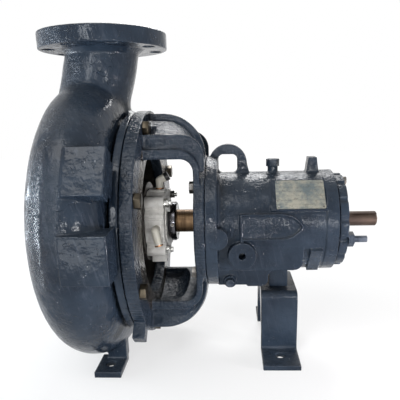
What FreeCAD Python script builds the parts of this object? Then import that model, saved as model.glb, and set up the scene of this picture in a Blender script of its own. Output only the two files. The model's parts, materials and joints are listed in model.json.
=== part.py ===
import FreeCAD, Part

import math
import os

import Sketcher

# End-suction process pump: casing, bearing frame and rotor of a 6 by 4 - 13 inch pump.
# Every piece is drawn in the shaft's frame: x runs along the shaft from the suction to the
# coupling, z points up, and the shaft's axis is the x axis. Each piece's placement then
# lifts it by axis_height, so that the feet stand on z = 0.
# x = 0 is the centre line of the discharge and of the casing's foot bolts.
# The near side of the pump is at -y, and tilts are angles above the near horizontal.

SIZES = (
    # whole pump
    ("axis_height", 254.0, "floor to shaft axis"),
    ("discharge_rise", 347.0, "shaft axis to discharge face"),
    ("suction_reach", 101.6, "discharge centre line to suction face"),
    ("shaft_reach", 508.0, "discharge centre line to the shaft's coupling end"),
    ("foot_distance", 317.5, "casing foot bolts to rear foot bolts"),
    ("running_gap", 0.3, "between pieces that move past each other"),
    ("fit_gap", 0.05, "radial clearance of a spigot, a screw or a running fit"),
    ("joint_gap", 1.0, "open joint between casing and adapter"),
    ("hole_spare", 1.0, "blind holes past the ends of their screws"),
    # flanges and their bolt circles
    ("suction_flange_radius", 139.7, "6 inch class 150"),
    ("suction_flange_thick", 25.4, "6 inch class 150"),
    ("suction_bore_radius", 77.0, "suction passage"),
    ("suction_circle_radius", 120.65, "bolt circle"),
    ("suction_hole_radius", 11.1, "7/8 inch holes"),
    ("discharge_flange_radius", 114.3, "4 inch class 150"),
    ("discharge_flange_thick", 28.0, "4 inch class 150"),
    ("discharge_bore_radius", 51.0, "discharge passage"),
    ("discharge_circle_radius", 95.25, "bolt circle"),
    ("discharge_hole_radius", 9.525, "3/4 inch holes"),
    ("flange_hole_count", 8, "bolts in each pipe flange"),
    # volute
    ("volute_x", -26.0, "middle plane of the volute"),
    ("volute_tube_radius", 62.0, "outer radius of the volute's round section"),
    ("casing_wall", 12.0, "wall of the volute"),
    ("volute_radius", 193.0, "tube centre's radius from the bottom to the near side"),
    ("volute_rise", 4.0, "height of the near quarter's centre above the axis"),
    ("growth_far", 20.0, "growth from the tongue's quarter to the far quarter"),
    ("growth_bottom", 16.0, "growth from the far quarter to the bottom quarter"),
    ("growth_near", 8.0, "growth from the bottom quarter to the near quarter"),
    ("neck_radius", 66.0, "discharge neck"),
    ("neck_flare", 8.0, "flare of the neck under its flange"),
    ("neck_bore_draft", 1.0, "draft of the neck's bore"),
    ("neck_lean_x", -14.0, "neck's centre half way down"),
    ("neck_lean_rise", 268.0, "height half way down the neck"),
    ("neck_knee_x", -26.0, "neck's centre at the knee"),
    ("neck_knee_rise", 230.0, "height where the neck spreads into the volute"),
    ("neck_root_x", -31.0, "neck's centre at its widest"),
    ("neck_root_radius", 71.0, "neck at its widest"),
    ("neck_root_rise", 202.0, "height of the widest section"),
    ("neck_end_rise", 150.0, "height of the neck's end inside the volute"),
    ("neck_end_radius", 34.0, "neck's end inside the volute"),
    # casing core
    ("suction_neck_radius", 100.0, "between suction flange and front wall"),
    ("casing_front", -60.0, "front face of the casing's core"),
    ("casing_front_corner", 6.0, "fillet round the suction neck"),
    ("casing_core_radius", 188.0, "core behind the volute"),
    ("casing_flange_front", 41.0, "front of the casing's bolting flange"),
    ("casing_face", 55.0, "joint face of the casing"),
    ("casing_flange_radius", 211.0, "bolting flange of the casing"),
    ("register_radius", 170.0, "casing bore that centres the rear cover"),
    ("cover_seat_x", 44.0, "bottom of the casing's counterbore"),
    ("cover_flange_radius", 186.0, "rear cover's clamped flange"),
    ("gasket_thick", 0.8, "casing gasket and gland gasket"),
    ("gasket_inset", 1.0, "gland gasket inside the gland's edge"),
    ("front_wall_x", -47.0, "inner front wall at the suction bore"),
    ("front_wall_tip_x", -40.0, "inner front wall at the chamber's rim"),
    ("pad_left", -20.0, "lower pad's left edge"),
    ("pad_right", 53.0, "lower pad's right edge"),
    ("pad_reach", 266.0, "face of the lower pad from the axis plane"),
    ("pad_top", 43.0, "lower pad's top edge"),
    ("pad_bottom", -33.0, "lower pad's bottom edge"),
    ("upper_pad_tilt", 30.0, "direction of the upper pad"),
    ("upper_pad_reach", 266.0, "face of the upper pad"),
    ("upper_pad_left", -13.0, "upper pad's left edge"),
    ("upper_pad_right", 48.0, "upper pad's right edge"),
    ("upper_pad_half", 28.0, "half height of the upper pad"),
    ("pad_depth", 50.0, "how far both pads reach into the volute"),
    # casing feet
    ("casing_bolt_spacing", 247.65, "between the casing's two foot bolts"),
    ("foot_hole_radius", 8.73, "11/16 inch holes for 5/8 inch bolts"),
    ("casing_foot_half_length", 155.0, "outer end of each casing foot"),
    ("casing_foot_inner", 90.0, "inner end of each casing foot"),
    ("casing_foot_left", -24.0, "left edge of a casing foot"),
    ("casing_foot_right", 26.0, "right edge of a casing foot"),
    ("casing_foot_thick", 12.0, "casing foot"),
    ("pedestal_top", -190.0, "top of the pedestal, inside the volute"),
    ("pedestal_inner", 84.0, "inner side of the pedestal"),
    ("pedestal_outer", 108.0, "side of the pedestal next to the foot bolt"),
    ("pedestal_left", -10.0, "left side of the pedestal"),
    # casing screws
    ("screw_circle_radius", 197.0, "circle of the casing screws"),
    ("screw_count", 8, "casing screws"),
    ("screw_radius", 7.94, "5/8 inch screws"),
    ("screw_head_across", 23.8, "hexagon of a 5/8 inch screw"),
    ("screw_head_tall", 10.5, "head of a 5/8 inch screw"),
    ("screw_depth", 12.0, "screw in the casing flange"),
    # adapter
    ("ring_thick", 22.0, "adapter's bolting ring"),
    ("ring_radius", 213.0, "adapter's bolting ring"),
    ("ring_bore_radius", 140.0, "opening of the adapter's ring"),
    ("bell_radius", 195.0, "outside of the adapter's arms"),
    ("bell_turn_x", 101.0, "where the arms begin to curve down"),
    ("bell_turn_radius", 67.0, "outer curve of the arms"),
    ("bell_wall", 30.0, "depth of the arms at the top"),
    ("bell_root_drop", 10.0, "arms' ends inside the frame flange"),
    ("arm_half_width", 91.0, "side faces of the arms"),
    ("window_half_height", 130.0, "side windows"),
    ("window_corner", 22.0, "corner of the windows"),
    ("rim_band", 18.0, "height of the windows' raised rim"),
    ("rim_inner", 84.0, "inside of the raised rim"),
    ("rim_outer", 98.0, "outside of the raised rim"),
    ("rim_overlap", 12.0, "width of the rim beside the frame flange"),
    ("rim_corner", 40.0, "outer corner of the rim"),
    ("fin_height", 12.0, "thin fin on the crest of each arm"),
    ("fin_half", 4.0, "half thickness of the fin"),
    ("fin_root", 7.0, "fin's root below the crest"),
    ("cheek_rise", 172.0, "top edge of the upper arm's side plates"),
    ("cheek_corner", 38.0, "corner of the side plates"),
    ("lower_arm_half_angle", 29.0, "half of the lower arm's angle"),
    ("lug_half", 13.0, "half width of the lugs on the ring"),
    ("lug_reach", 241.0, "tip of the lugs"),
    ("lug_count", 2, "lugs on the ring"),
    ("spot_radius", 15.7, "spot faces under the casing screws"),
    ("lower_lug_angle", 225.0, "lower lug, from +y towards +z"),
    ("frame_joint_x", 182.0, "joint between adapter and bearing housing"),
    ("adapter_flange_front", 162.0, "front of the adapter's frame flange"),
    ("frame_flange_radius", 127.0, "adapter's frame flange"),
    ("frame_spigot_radius", 62.0, "spigot of the bearing housing"),
    ("frame_spigot_long", 8.0, "length of that spigot"),
    ("frame_circle_radius", 112.0, "circle of the frame bolts"),
    ("frame_bolt_count", 4, "frame bolts"),
    ("frame_bolt_angle", 45.0, "first frame bolt, from +y towards +z"),
    ("frame_bolt_radius", 6.35, "1/2 inch bolts"),
    ("frame_bolt_across", 19.0, "hexagon of a 1/2 inch bolt"),
    ("frame_bolt_head", 8.0, "head of a 1/2 inch bolt"),
    ("frame_bolt_depth", 16.0, "bolt in the housing flange"),
    # rear cover
    ("cover_face_x", -3.0, "cover's face behind the impeller"),
    ("cover_plate_back", 15.0, "back of the cover's plate"),
    ("cover_rim_radius", 154.0, "inside of the cover's rim"),
    ("hub_radius", 78.0, "seal chamber's hub"),
    ("hub_face_x", 66.0, "hub's face under the gland"),
    ("chamber_radius", 45.0, "seal chamber bore"),
    # gland and seal
    ("gland_radius", 57.0, "gland's round core"),
    ("gland_flat_reach", 61.0, "flats of the gland's eight-sided plate"),
    ("gland_thick", 35.5, "gland's plate"),
    ("gland_nose_x", 104.5, "gland's nose"),
    ("gland_nose_radius", 48.0, "gland's nose"),
    ("gland_lip_radius", 27.0, "hole in the gland's nose"),
    ("gland_bore_radius", 40.0, "bore that holds the stationary face"),
    ("gland_bore_depth", 12.0, "wall left at the nose"),
    ("gland_spigot_x", 60.0, "front end of the gland's spigot"),
    ("ear_circle_radius", 64.0, "circle of the gland studs"),
    ("ear_radius", 12.5, "gland's ears"),
    ("ear_thick", 35.5, "gland's ears"),
    ("ear_angle", 45.0, "first ear, from +y towards +z"),
    ("ear_count", 4, "gland's ears, each with a stud and a nut"),
    ("port_reach", 65.0, "face of the flush ports"),
    ("port_half", 20.0, "half width of the flush ports"),
    ("port_step", 2.0, "step round the flush ports"),
    ("port_boss_half", 17.0, "half width of the ports' raised face"),
    ("drain_port_tilt", -90.0, "drain port below"),
    ("drain_port_reach", 80.0, "face of the drain port"),
    ("port_x", 88.5, "middle of the flush ports"),
    ("upper_port_tilt", 90.0, "upper flush port"),
    ("lower_port_tilt", 0.0, "lower flush port"),
    ("stud_radius", 4.76, "3/8 inch gland studs"),
    ("stud_tail", 116.0, "outer end of the gland studs"),
    ("stud_root", 50.0, "inner end of the gland studs"),
    ("nut_across", 14.3, "3/8 inch nut"),
    ("nut_tall", 9.0, "3/8 inch nut"),
    ("face_inner_radius", 26.0, "both seal faces"),
    ("face_outer_radius", 36.0, "both seal faces"),
    ("seal_plane_x", 62.0, "where the seal faces run"),
    ("face_thick", 12.0, "rotating seal face"),
    ("seat_long", 18.0, "stationary seal face"),
    ("sleeve_radius", 25.4, "outside of the seal sleeve"),
    ("sleeve_front", 34.0, "front end of the seal sleeve"),
    ("collar_front", 108.5, "drive collar"),
    ("collar_back", 121.0, "drive collar"),
    ("collar_radius", 38.0, "drive collar"),
    ("collar_neck_radius", 33.0, "drive collar's neck"),
    ("collar_gap", 1.0, "between the gland and the collar, room for the carrier's travel"),
    ("collar_chamfer", 2.0, "drive collar's edges"),
    ("collar_screw_radius", 3.0, "set screws of the drive collar"),
    ("collar_screw_count", 4, "set screws of the drive collar"),
    ("clip_reach", 55.0, "setting clip on the gland"),
    ("clip_half", 5.0, "half width of the setting clip"),
    ("clip_angle", 135.0, "first setting clip, from +y towards +z"),
    ("clip_gap", 3.0, "between setting clip and drive collar"),
    ("clip_long", 7.0, "setting clip past the gland's nose"),
    ("clip_count", 2, "setting clips"),
    # elbows in the flush ports
    ("elbow_radius", 7.5, "elbow's tube"),
    ("elbow_rise", 14.0, "first leg of an elbow"),
    ("upper_elbow_run", 12.0, "second leg of the upper elbow"),
    ("lower_elbow_run", 26.0, "second leg of the lower elbow"),
    ("elbow_ring_thick", 2.5, "copper ring at the elbow's end"),
    ("elbow_ring_lip", 0.6, "copper ring outside the tube"),
    ("elbow_cap_lip", 1.0, "black cap outside the tube"),
    ("elbow_cap_long", 8.0, "black cap on the upper elbow"),
    # bearing housing
    ("housing_radius", 95.0, "barrel of the bearing housing"),
    ("housing_flange_back", 203.0, "back of the housing's frame flange"),
    ("housing_flange_radius", 126.0, "housing's frame flange"),
    ("housing_fillet", 6.0, "fillet behind that flange"),
    ("housing_root", 75.0, "where bosses begin inside the barrel"),
    ("housing_shoulder_radius", 47.0, "wall in front of the radial bearing"),
    ("bearing_play", 1.0, "axial room on both sides of the radial bearing"),
    ("housing_end", 418.0, "end face of the housing"),
    ("housing_rim_front", 396.0, "thickened rim at the end"),
    ("housing_rim_radius", 96.5, "thickened rim at the end"),
    ("housing_cavity_radius", 70.0, "oil chamber round the shaft"),
    ("housing_cavity_back", 345.0, "oil chamber's far end"),
    ("isolator_radius", 38.0, "bore for the inboard oil seal"),
    ("isolator_long", 18.0, "inboard oil seal"),
    ("sump_half_width", 62.0, "oil sump below the barrel"),
    ("sump_root", -66.5, "oil sump's top, inside the barrel"),
    ("sump_bottom", -116.0, "underside of the oil sump"),
    ("sump_block_x", 256.0, "left end of the sump's block"),
    ("sump_end", 296.0, "right end of the sump"),
    ("sump_corner", 14.0, "sump's rounded corner"),
    ("sump_step", 3.0, "step between the sump and its block"),
    ("sump_drop", 22.0, "start of the sump's curved end above its bottom"),
    ("sump_tail_x", 356.0, "where the sump's curve meets the barrel"),
    ("chamber_side_reach", 91.0, "flat sides of the oil chamber"),
    ("chamber_side_top", 8.0, "upper edge of the flat sides"),
    ("chamber_side_bottom", -74.0, "lower edge of the flat sides"),
    ("chamber_side_end", 357.0, "right edge of the flat sides"),
    ("chamber_side_corner", 18.0, "lower right corner of the flat sides"),
    ("patch_tilt", -40.0, "direction of the rough pad near the end"),
    ("patch_left", 368.0, "rough pad near the end"),
    ("patch_right", 390.0, "rough pad near the end"),
    ("patch_half", 33.0, "half height of the rough pad"),
    ("patch_reach", 96.5, "face of the rough pad"),
    ("seat_half_width", 34.0, "boss that rests on the rear foot"),
    ("seat_left", 300.0, "left side of that boss"),
    ("seat_right", 336.0, "right side of that boss"),
    ("loop_x", 222.0, "middle of the lifting loop"),
    ("loop_rise", 112.0, "centre of the loop's eye"),
    ("loop_eye_half", 17.5, "half width of the eye"),
    ("loop_eye_corner", 9.0, "corner of the eye"),
    ("loop_wall", 19.0, "metal round the eye"),
    ("loop_half_thick", 9.0, "half thickness of the loop"),
    ("loop_spread", 10.0, "loop's wider root on the right"),
    ("gauge_x", 246.0, "round boss on the near side"),
    ("gauge_z", -42.0, "round boss on the near side"),
    ("gauge_radius", 25.0, "round boss on the near side"),
    ("gauge_reach", 106.0, "face of the round boss"),
    ("gauge_hole_radius", 6.0, "open oiler hole"),
    ("gauge_hole_deep", 24.0, "open oiler hole"),
    ("filler_x", 307.5, "filler neck"),
    ("filler_neck_radius", 10.0, "filler neck"),
    ("filler_rise", 105.0, "top of the filler neck"),
    ("vent_lug_x", 381.0, "tapered lug near the end"),
    ("vent_lug_half", 14.0, "half length of the tapered lug's root"),
    ("vent_lug_top_half", 8.0, "half length of the tapered lug's top"),
    ("vent_lug_rise", 122.0, "top of the tapered lug"),
    ("vent_lug_half_thick", 14.0, "half thickness of the tapered lug"),
    ("ear_boss_z", -5.0, "round ear on the housing's flange"),
    ("ear_boss_radius", 19.0, "round ear on the housing's flange"),
    ("ear_boss_root", 100.0, "inner side of the round ear"),
    ("ear_boss_reach", 125.0, "face of the round ear"),
    ("plate_tilt", 41.7, "direction of the nameplate"),
    ("plate_seat_reach", 93.0, "nameplate's raised pad"),
    ("plate_left", 307.5, "nameplate's left edge"),
    ("plate_right", 394.0, "nameplate's right edge"),
    ("plate_half", 29.5, "half height of the nameplate"),
    ("plate_margin", 2.5, "pad above and below the nameplate"),
    ("plate_pad_left", 297.5, "left edge of the nameplate's pad"),
    ("plate_corner", 3.0, "nameplate's corners"),
    ("plate_clear", 15.0, "cleared above the nameplate's pad"),
    ("plate_thick", 0.9, "nameplate"),
    ("pin_inset", 4.0, "nameplate pins from its corners"),
    ("pin_radius", 1.6, "nameplate pins"),
    ("pin_head", 1.3, "nameplate pins above the plate"),
    ("badge_left", 243.0, "badge pad, left bare"),
    ("badge_right", 355.0, "point of the badge pad"),
    ("badge_point_long", 40.0, "tapering end of the badge pad"),
    ("badge_tilt", 5.3, "direction of the badge pad"),
    ("badge_half_high", 24.0, "half height of the badge pad"),
    ("badge_reach", 98.0, "face of the badge pad's bead"),
    ("badge_bead", 1.6, "height of the bead"),
    ("badge_rim", 3.2, "width of the bead"),
    # plugs
    ("filler_plug_across", 22.0, "filler plug's hexagon"),
    ("filler_plug_head", 14.0, "filler plug's head"),
    ("plug_radius", 6.5, "thread of both oil plugs"),
    ("plug_depth", 12.0, "thread of both oil plugs"),
    ("drain_x", 224.0, "oil drain"),
    ("drain_across", 14.0, "drain plug's hexagon"),
    ("drain_head", 8.0, "drain plug's head"),
    ("drain_boss_radius", 12.0, "boss round the drain"),
    ("drain_boss_root", 52.0, "inner end of the drain's boss"),
    ("drain_boss_reach", 66.0, "face of the drain's boss"),
    ("drain_rise", -105.0, "height of the drain"),
    # rear foot
    ("rear_bolt_spacing", 184.15, "between the rear foot's bolts"),
    ("rear_foot_left", 282.5, "left edge of the rear foot"),
    ("rear_foot_right", 352.5, "right edge of the rear foot"),
    ("rear_foot_top", -128.0, "seat under the housing"),
    ("rear_foot_thick", 10.0, "rear foot's plate"),
    ("rear_leg_half", 66.0, "outside of the rear foot's legs"),
    ("rear_toe_half", 131.0, "ends of the rear foot's toes"),
    ("rear_bend", 14.0, "outer bend radius of the rear foot"),
    ("gusset_reach", 40.0, "rear foot's corner gussets along the top"),
    ("gusset_drop", 62.0, "rear foot's corner gussets down the leg"),
    ("gusset_thick", 8.0, "rear foot's corner gussets"),
    ("foot_screw_half", 20.0, "foot screws either side of the middle"),
    ("foot_screw_depth", 14.0, "foot screws in the housing"),
    # bearings
    ("bearing_bore_radius", 25.0, "50 mm bearings"),
    ("bearing_radius", 55.0, "110 mm bearings"),
    ("bearing_pitch_radius", 40.0, "middle of the balls"),
    ("race_wall", 9.8, "bearing ring at its shoulder"),
    ("ball_radius", 8.5, "radial bearing's balls"),
    ("ball_count", 8, "balls in a row"),
    ("race_gap", 0.12, "between balls and their grooves"),
    ("radial_bearing_x", 207.0, "front of the radial bearing"),
    ("radial_bearing_wide", 27.0, "radial bearing"),
    ("thrust_bearing_x", 372.0, "front of the thrust bearing"),
    ("thrust_bearing_wide", 44.4, "double-row thrust bearing"),
    ("thrust_ball_radius", 7.5, "thrust bearing's balls"),
    ("thrust_row_inset", 12.0, "ball rows from the bearing's faces"),
    # bearing carrier
    ("carrier_radius", 68.0, "sliding fit of the carrier in the housing"),
    ("carrier_front", 352.0, "inner end of the carrier"),
    ("carrier_gap", 2.5, "gap behind the carrier's flange"),
    ("carrier_flange_thick", 15.5, "carrier's flange"),
    ("carrier_flange_radius", 89.5, "carrier's flange"),
    ("carrier_shoulder_radius", 47.0, "hole in front of the thrust bearing"),
    ("carrier_nose_x", 443.0, "carrier's outer end"),
    ("carrier_nose_radius", 56.0, "carrier's outer end"),
    ("carrier_cap_x", 430.0, "inside of the carrier's end wall"),
    ("snap_ring_thick", 2.5, "ring that holds the thrust bearing"),
    ("snap_ring_radius", 51.0, "inside of that ring"),
    ("carrier_nose_taper", 4.0, "draft of the carrier's outer end"),
    ("snap_ring_room", 1.0, "axial play of the ring's groove"),
    ("end_cavity_radius", 49.0, "room round the locknut"),
    ("lobe_count", 15, "lobes round the carrier's flange"),
    ("lobe_notch_radius", 8.0, "notches between the lobes"),
    ("lobe_notch_circle", 94.5, "centres of the notches"),
    ("o_ring_x", 362.0, "carrier's o-ring"),
    ("o_ring_radius", 2.0, "section of the carrier's o-ring"),
    ("outer_seal_radius", 34.0, "outboard oil seal"),
    ("outer_seal_lip", 1.0, "outboard oil seal past the carrier's end"),
    ("lock_circle_radius", 80.0, "circle of the carrier's screws"),
    ("lock_first_angle", 104.0, "first set screw, from +y towards +z"),
    ("lock_count", 4, "three set screws and the stud"),
    ("lock_screw_radius", 4.76, "3/8 inch set screws"),
    ("lock_head_across", 14.3, "set screw's hexagon"),
    ("lock_head_tall", 6.5, "set screw's hexagon"),
    ("lock_stud_radius", 6.0, "stud"),
    ("lock_stud_end", 470.0, "outer end of the stud"),
    ("lock_nut_across", 24.0, "stud's nut"),
    ("lock_nut_tall", 10.0, "stud's nut"),
    # shaft
    ("impeller_seat_x", 4.0, "shoulder behind the impeller"),
    ("impeller_thread_radius", 15.0, "shaft in the impeller"),
    ("impeller_thread_long", 40.0, "shaft in the impeller"),
    ("shaft_radius", 22.225, "shaft under the seal"),
    ("shaft_middle_radius", 29.0, "shaft between the bearings"),
    ("locknut_radius", 35.0, "bearing locknut"),
    ("locknut_thick", 11.0, "bearing locknut"),
    ("locknut_slot_half", 3.0, "half width of the locknut's slots"),
    ("locknut_slot_deep", 3.0, "locknut's slots"),
    ("locknut_slot_count", 4, "locknut's slots"),
    ("washer_thick", 1.6, "lock washer"),
    ("shaft_seal_radius", 19.0, "shaft in the outboard oil seal"),
    ("coupling_radius", 14.2875, "1 1/8 inch coupling end"),
    ("coupling_start", 444.5, "start of the coupling end"),
    ("coupling_chamfer", 1.5, "edge of the coupling end"),
    ("key_half", 3.175, "half width of the keyway"),
    ("key_depth", 3.18, "keyway"),
    ("key_left", 461.0, "front end of the keyway"),
    ("key_tilt", 40.0, "direction of the keyway"),
    # impeller
    ("impeller_radius", 165.1, "13 inch impeller"),
    ("shroud_front", -13.0, "front of the impeller's disc"),
    ("shroud_back", -6.0, "back of the impeller's disc"),
    ("impeller_hub_radius", 32.0, "impeller's hub"),
    ("impeller_nose_x", -50.0, "impeller's nose"),
    ("impeller_nose_round", 16.0, "impeller's rounded nose"),
    ("impeller_hub_flare", 6.0, "hub's growth towards the disc"),
    ("hub_ring_radius", 1.75, "section of the impeller's o-ring"),
    ("impeller_clearance", 1.2, "vanes to the casing's front wall"),
    ("vane_count", 5, "impeller vanes"),
    ("vane_inner_radius", 42.0, "root of the vanes"),
    ("vane_curve", 112.0, "curve of the vanes"),
    ("vane_thick", 7.0, "vanes"),
    ("vane_wrap", 55.0, "angle from a vane's root to its tip"),
)

doc = FreeCAD.newDocument("centrifugal_pump")
sheet = doc.addObject("Spreadsheet::Sheet", "dims")


class Size:
    """A length worked out from the sheet: its value now and its text for an expression."""

    def __init__(self, value, text):
        self.value = value
        self.text = text

    def __add__(self, other):
        return combine(self, "+", other)

    def __radd__(self, other):
        return combine(other, "+", self)

    def __sub__(self, other):
        return combine(self, "-", other)

    def __rsub__(self, other):
        return combine(other, "-", self)

    def __mul__(self, other):
        return combine(self, "*", other)

    def __rmul__(self, other):
        return combine(other, "*", self)

    def __truediv__(self, other):
        return combine(self, "/", other)

    def __rtruediv__(self, other):
        return combine(other, "/", self)

    def __neg__(self):
        return combine(0, "-", self)


OPERATIONS = {
    "+": lambda left, right: left + right,
    "-": lambda left, right: left - right,
    "*": lambda left, right: left * right,
    "/": lambda left, right: left / right,
}


def as_size(amount):
    return amount if isinstance(amount, Size) else Size(float(amount), "(%.6f)" % amount)


def combine(left, sign, right):
    left, right = as_size(left), as_size(right)
    return Size(OPERATIONS[sign](left.value, right.value), "(%s %s %s)" % (left.text, sign, right.text))


def cosine(angle):
    return Size(math.cos(math.radians(angle.value)), "cos(%s * 1 deg)" % angle.text)


def sine(angle):
    return Size(math.sin(math.radians(angle.value)), "sin(%s * 1 deg)" % angle.text)


class Sheet:
    """The sheet's sizes by name."""


S = Sheet()
for row, (alias, amount, meaning) in enumerate(SIZES, start=1):
    sheet.set("A%d" % row, meaning)
    sheet.set("B%d" % row, str(amount))
    sheet.setAlias("B%d" % row, alias)
    setattr(S, alias, Size(float(amount), "dims.%s" % alias))
doc.recompute()

# Stations that several pieces share
ring_front = S.casing_face + S.joint_gap
ring_back = ring_front + S.ring_thick
gland_front = S.hub_face_x + S.gasket_thick
gland_back = gland_front + S.gland_thick
volute_cavity_radius = S.volute_tube_radius - S.casing_wall
housing_front = S.frame_joint_x
radial_bearing_back = S.radial_bearing_x + S.radial_bearing_wide
thrust_bearing_back = S.thrust_bearing_x + S.thrust_bearing_wide
carrier_flange_front = S.housing_end + S.carrier_gap
carrier_flange_back = carrier_flange_front + S.carrier_flange_thick
floor_z = -S.axis_height
rear_foot_middle = (S.rear_foot_left + S.rear_foot_right) / 2
impeller_hub_back = S.impeller_seat_x + 2 * S.hub_ring_radius + S.running_gap
o_ring_seat_radius = S.shaft_radius + 2 * (S.hub_ring_radius + S.fit_gap)
thread_start = S.impeller_seat_x - S.impeller_thread_long
snap_groove_back = thrust_bearing_back + S.snap_ring_thick + S.snap_ring_room
collar_middle = (S.collar_front + S.collar_back) / 2
screw_angle = 180 / S.screw_count
stud_angle = S.lock_first_angle + 360 / S.lock_count

# How far a feature reaches into its neighbour, or a cut past a face
overlap = 1


def tie(thing, prop, amount):
    """Binds a property of a thing to a size, or sets it to a plain number."""
    if isinstance(amount, Size):
        thing.setExpression(prop, amount.text)
    else:
        setattr(thing, prop, amount)


def new_piece(label):
    """An empty body in the shaft's frame, lifted to its height above the floor."""
    piece = doc.addObject("PartDesign::Body", label)
    piece.Label = label
    piece.AllowCompound = True
    tie(piece, "Placement.Base.z", S.axis_height)
    return piece


def origin_part(piece, role):
    return [item for item in piece.Origin.OriginFeatures if item.Role == role][0]


def new_sketch(piece, role):
    drawing = piece.newObject("Sketcher::SketchObject", piece.Label + "_sketch")
    drawing.AttachmentSupport = [(origin_part(piece, role), "")]
    drawing.MapMode = "FlatFace"
    return drawing


def side_sketch(piece, distance=0, tilt=0):
    """A sketch whose h is x, on the plane that faces away from the axis at a tilt."""
    drawing = new_sketch(piece, "XZ_Plane")
    tilt, distance = as_size(tilt), as_size(distance)
    turn_back = FreeCAD.Rotation(FreeCAD.Vector(1, 0, 0), -1)
    drawing.AttachmentOffset = FreeCAD.Placement(FreeCAD.Vector(), turn_back)
    tie(drawing, "AttachmentOffset.Rotation.Angle", -tilt)
    tie(drawing, "AttachmentOffset.Base.y", distance * sine(tilt))
    tie(drawing, "AttachmentOffset.Base.z", distance * cosine(tilt))
    return drawing


def end_sketch(piece, station, turned=0):
    """A sketch square to the shaft at a station, with h along y turned towards z."""
    drawing = new_sketch(piece, "YZ_Plane")
    turn_about = FreeCAD.Rotation(FreeCAD.Vector(0, 0, 1), 1)
    drawing.AttachmentOffset = FreeCAD.Placement(FreeCAD.Vector(), turn_about)
    tie(drawing, "AttachmentOffset.Rotation.Angle", as_size(turned))
    tie(drawing, "AttachmentOffset.Base.z", as_size(station))
    return drawing


def place_point(drawing, edge, end, h, v):
    """Fixes one end of an edge, or a centre, at h and v in its sketch."""
    for kind, axis, amount in (("DistanceX", -2, h), ("DistanceY", -1, v)):
        amount = as_size(amount)
        if amount.text == "(0.000000)":
            drawing.addConstraint(Sketcher.Constraint("PointOnObject", edge, end, axis))
        else:
            fixed = drawing.addConstraint(Sketcher.Constraint(kind, edge, end, amount.value))
            drawing.setExpression("Constraints[%d]" % fixed, amount.text)


def arc_between(start, end, radius):
    """The short arc from start to end: it turns left for a positive radius, else right."""
    chord = end - start
    middle = (start + end) / 2
    left = FreeCAD.Vector(-chord.y, chord.x, 0) / chord.Length
    away = math.sqrt(max(radius * radius - chord.Length ** 2 / 4, 0))
    centre = middle + left * math.copysign(away, radius)
    first, last = (start, end) if radius > 0 else (end, start)
    begin = math.atan2(first.y - centre.y, first.x - centre.x)
    finish = math.atan2(last.y - centre.y, last.x - centre.x)
    if finish < begin:
        finish += 2 * math.pi
    round_edge = Part.Circle(centre, FreeCAD.Vector(0, 0, 1), abs(radius))
    return Part.ArcOfCircle(round_edge, begin, finish)


def outline(drawing, points):
    """A closed outline through points (h, v). A third value is the signed radius of the
    arc that runs from that point to the next one."""
    first = drawing.GeometryCount
    corners = [FreeCAD.Vector(as_size(h).value, as_size(v).value, 0) for h, v, *bend in points]
    starts = []
    ends = []
    for index, point in enumerate(points):
        begin = corners[index]
        finish = corners[(index + 1) % len(points)]
        if len(point) == 3:
            radius = as_size(point[2])
            drawing.addGeometry(arc_between(begin, finish, radius.value))
            starts.append(1 if radius.value > 0 else 2)
            ends.append(2 if radius.value > 0 else 1)
        else:
            drawing.addGeometry(Part.LineSegment(begin, finish))
            starts.append(1)
            ends.append(2)
    for index, point in enumerate(points):
        after = (index + 1) % len(points)
        joined = Sketcher.Constraint("Coincident", first + index, ends[index], first + after, starts[after])
        drawing.addConstraint(joined)
        place_point(drawing, first + index, starts[index], point[0], point[1])
    for index, point in enumerate(points):
        if len(point) == 3:
            radius = as_size(point[2])
            size = drawing.addConstraint(Sketcher.Constraint("Radius", first + index, abs(radius.value)))
            drawing.setExpression("Constraints[%d]" % size, "abs(%s)" % radius.text)
    return drawing


def circle(drawing, h, v, radius):
    radius = as_size(radius)
    centre = FreeCAD.Vector(as_size(h).value, as_size(v).value, 0)
    ring = drawing.addGeometry(Part.Circle(centre, FreeCAD.Vector(0, 0, 1), radius.value))
    place_point(drawing, ring, 3, h, v)
    size = drawing.addConstraint(Sketcher.Constraint("Radius", ring, radius.value))
    drawing.setExpression("Constraints[%d]" % size, radius.text)
    return drawing


def rectangle(drawing, left, bottom, right, top):
    return outline(drawing, [(left, bottom), (right, bottom), (right, top), (left, top)])


def rounded_rectangle(drawing, left, bottom, right, top, corner):
    return outline(drawing, [
        (left + corner, bottom), (right - corner, bottom, corner),
        (right, bottom + corner), (right, top - corner, corner),
        (right - corner, top), (left + corner, top, corner),
        (left, top - corner), (left, bottom + corner, corner),
    ])


def polar(radius, angle):
    return (radius * cosine(angle), radius * sine(angle))


def hexagon(drawing, h, v, across):
    corner = across / math.sqrt(3)
    points = []
    for step in range(6):
        angle = math.radians(60 * step)
        points.append((h + corner * math.cos(angle), v + corner * math.sin(angle)))
    return outline(drawing, points)


def add_feature(piece, kind, drawing):
    feature = piece.newObject("PartDesign::" + kind, piece.Label + "_" + kind.lower())
    feature.Profile = drawing
    return feature


def pad(piece, drawing, length):
    """Adds the outline's prism along the sketch's normal."""
    feature = add_feature(piece, "Pad", drawing)
    tie(feature, "Length", as_size(length))
    return feature


def cut(piece, drawing, length, outward=False):
    """Cuts the outline's prism against the sketch's normal, or along it if outward."""
    feature = add_feature(piece, "Pocket", drawing)
    tie(feature, "Length", as_size(length))
    feature.Reversed = outward
    return feature


def clear_above(piece, drawing, height):
    """Takes away what stands on the outline, up to a height."""
    return cut(piece, drawing, height, outward=True)


def turn(piece, points):
    """Adds the solid of revolution about the shaft's axis of points (x, radius)."""
    drawing = outline(side_sketch(piece), points)
    feature = add_feature(piece, "Revolution", drawing)
    feature.ReferenceAxis = (drawing, ["H_Axis"])
    feature.Angle = 360
    return feature


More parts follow.
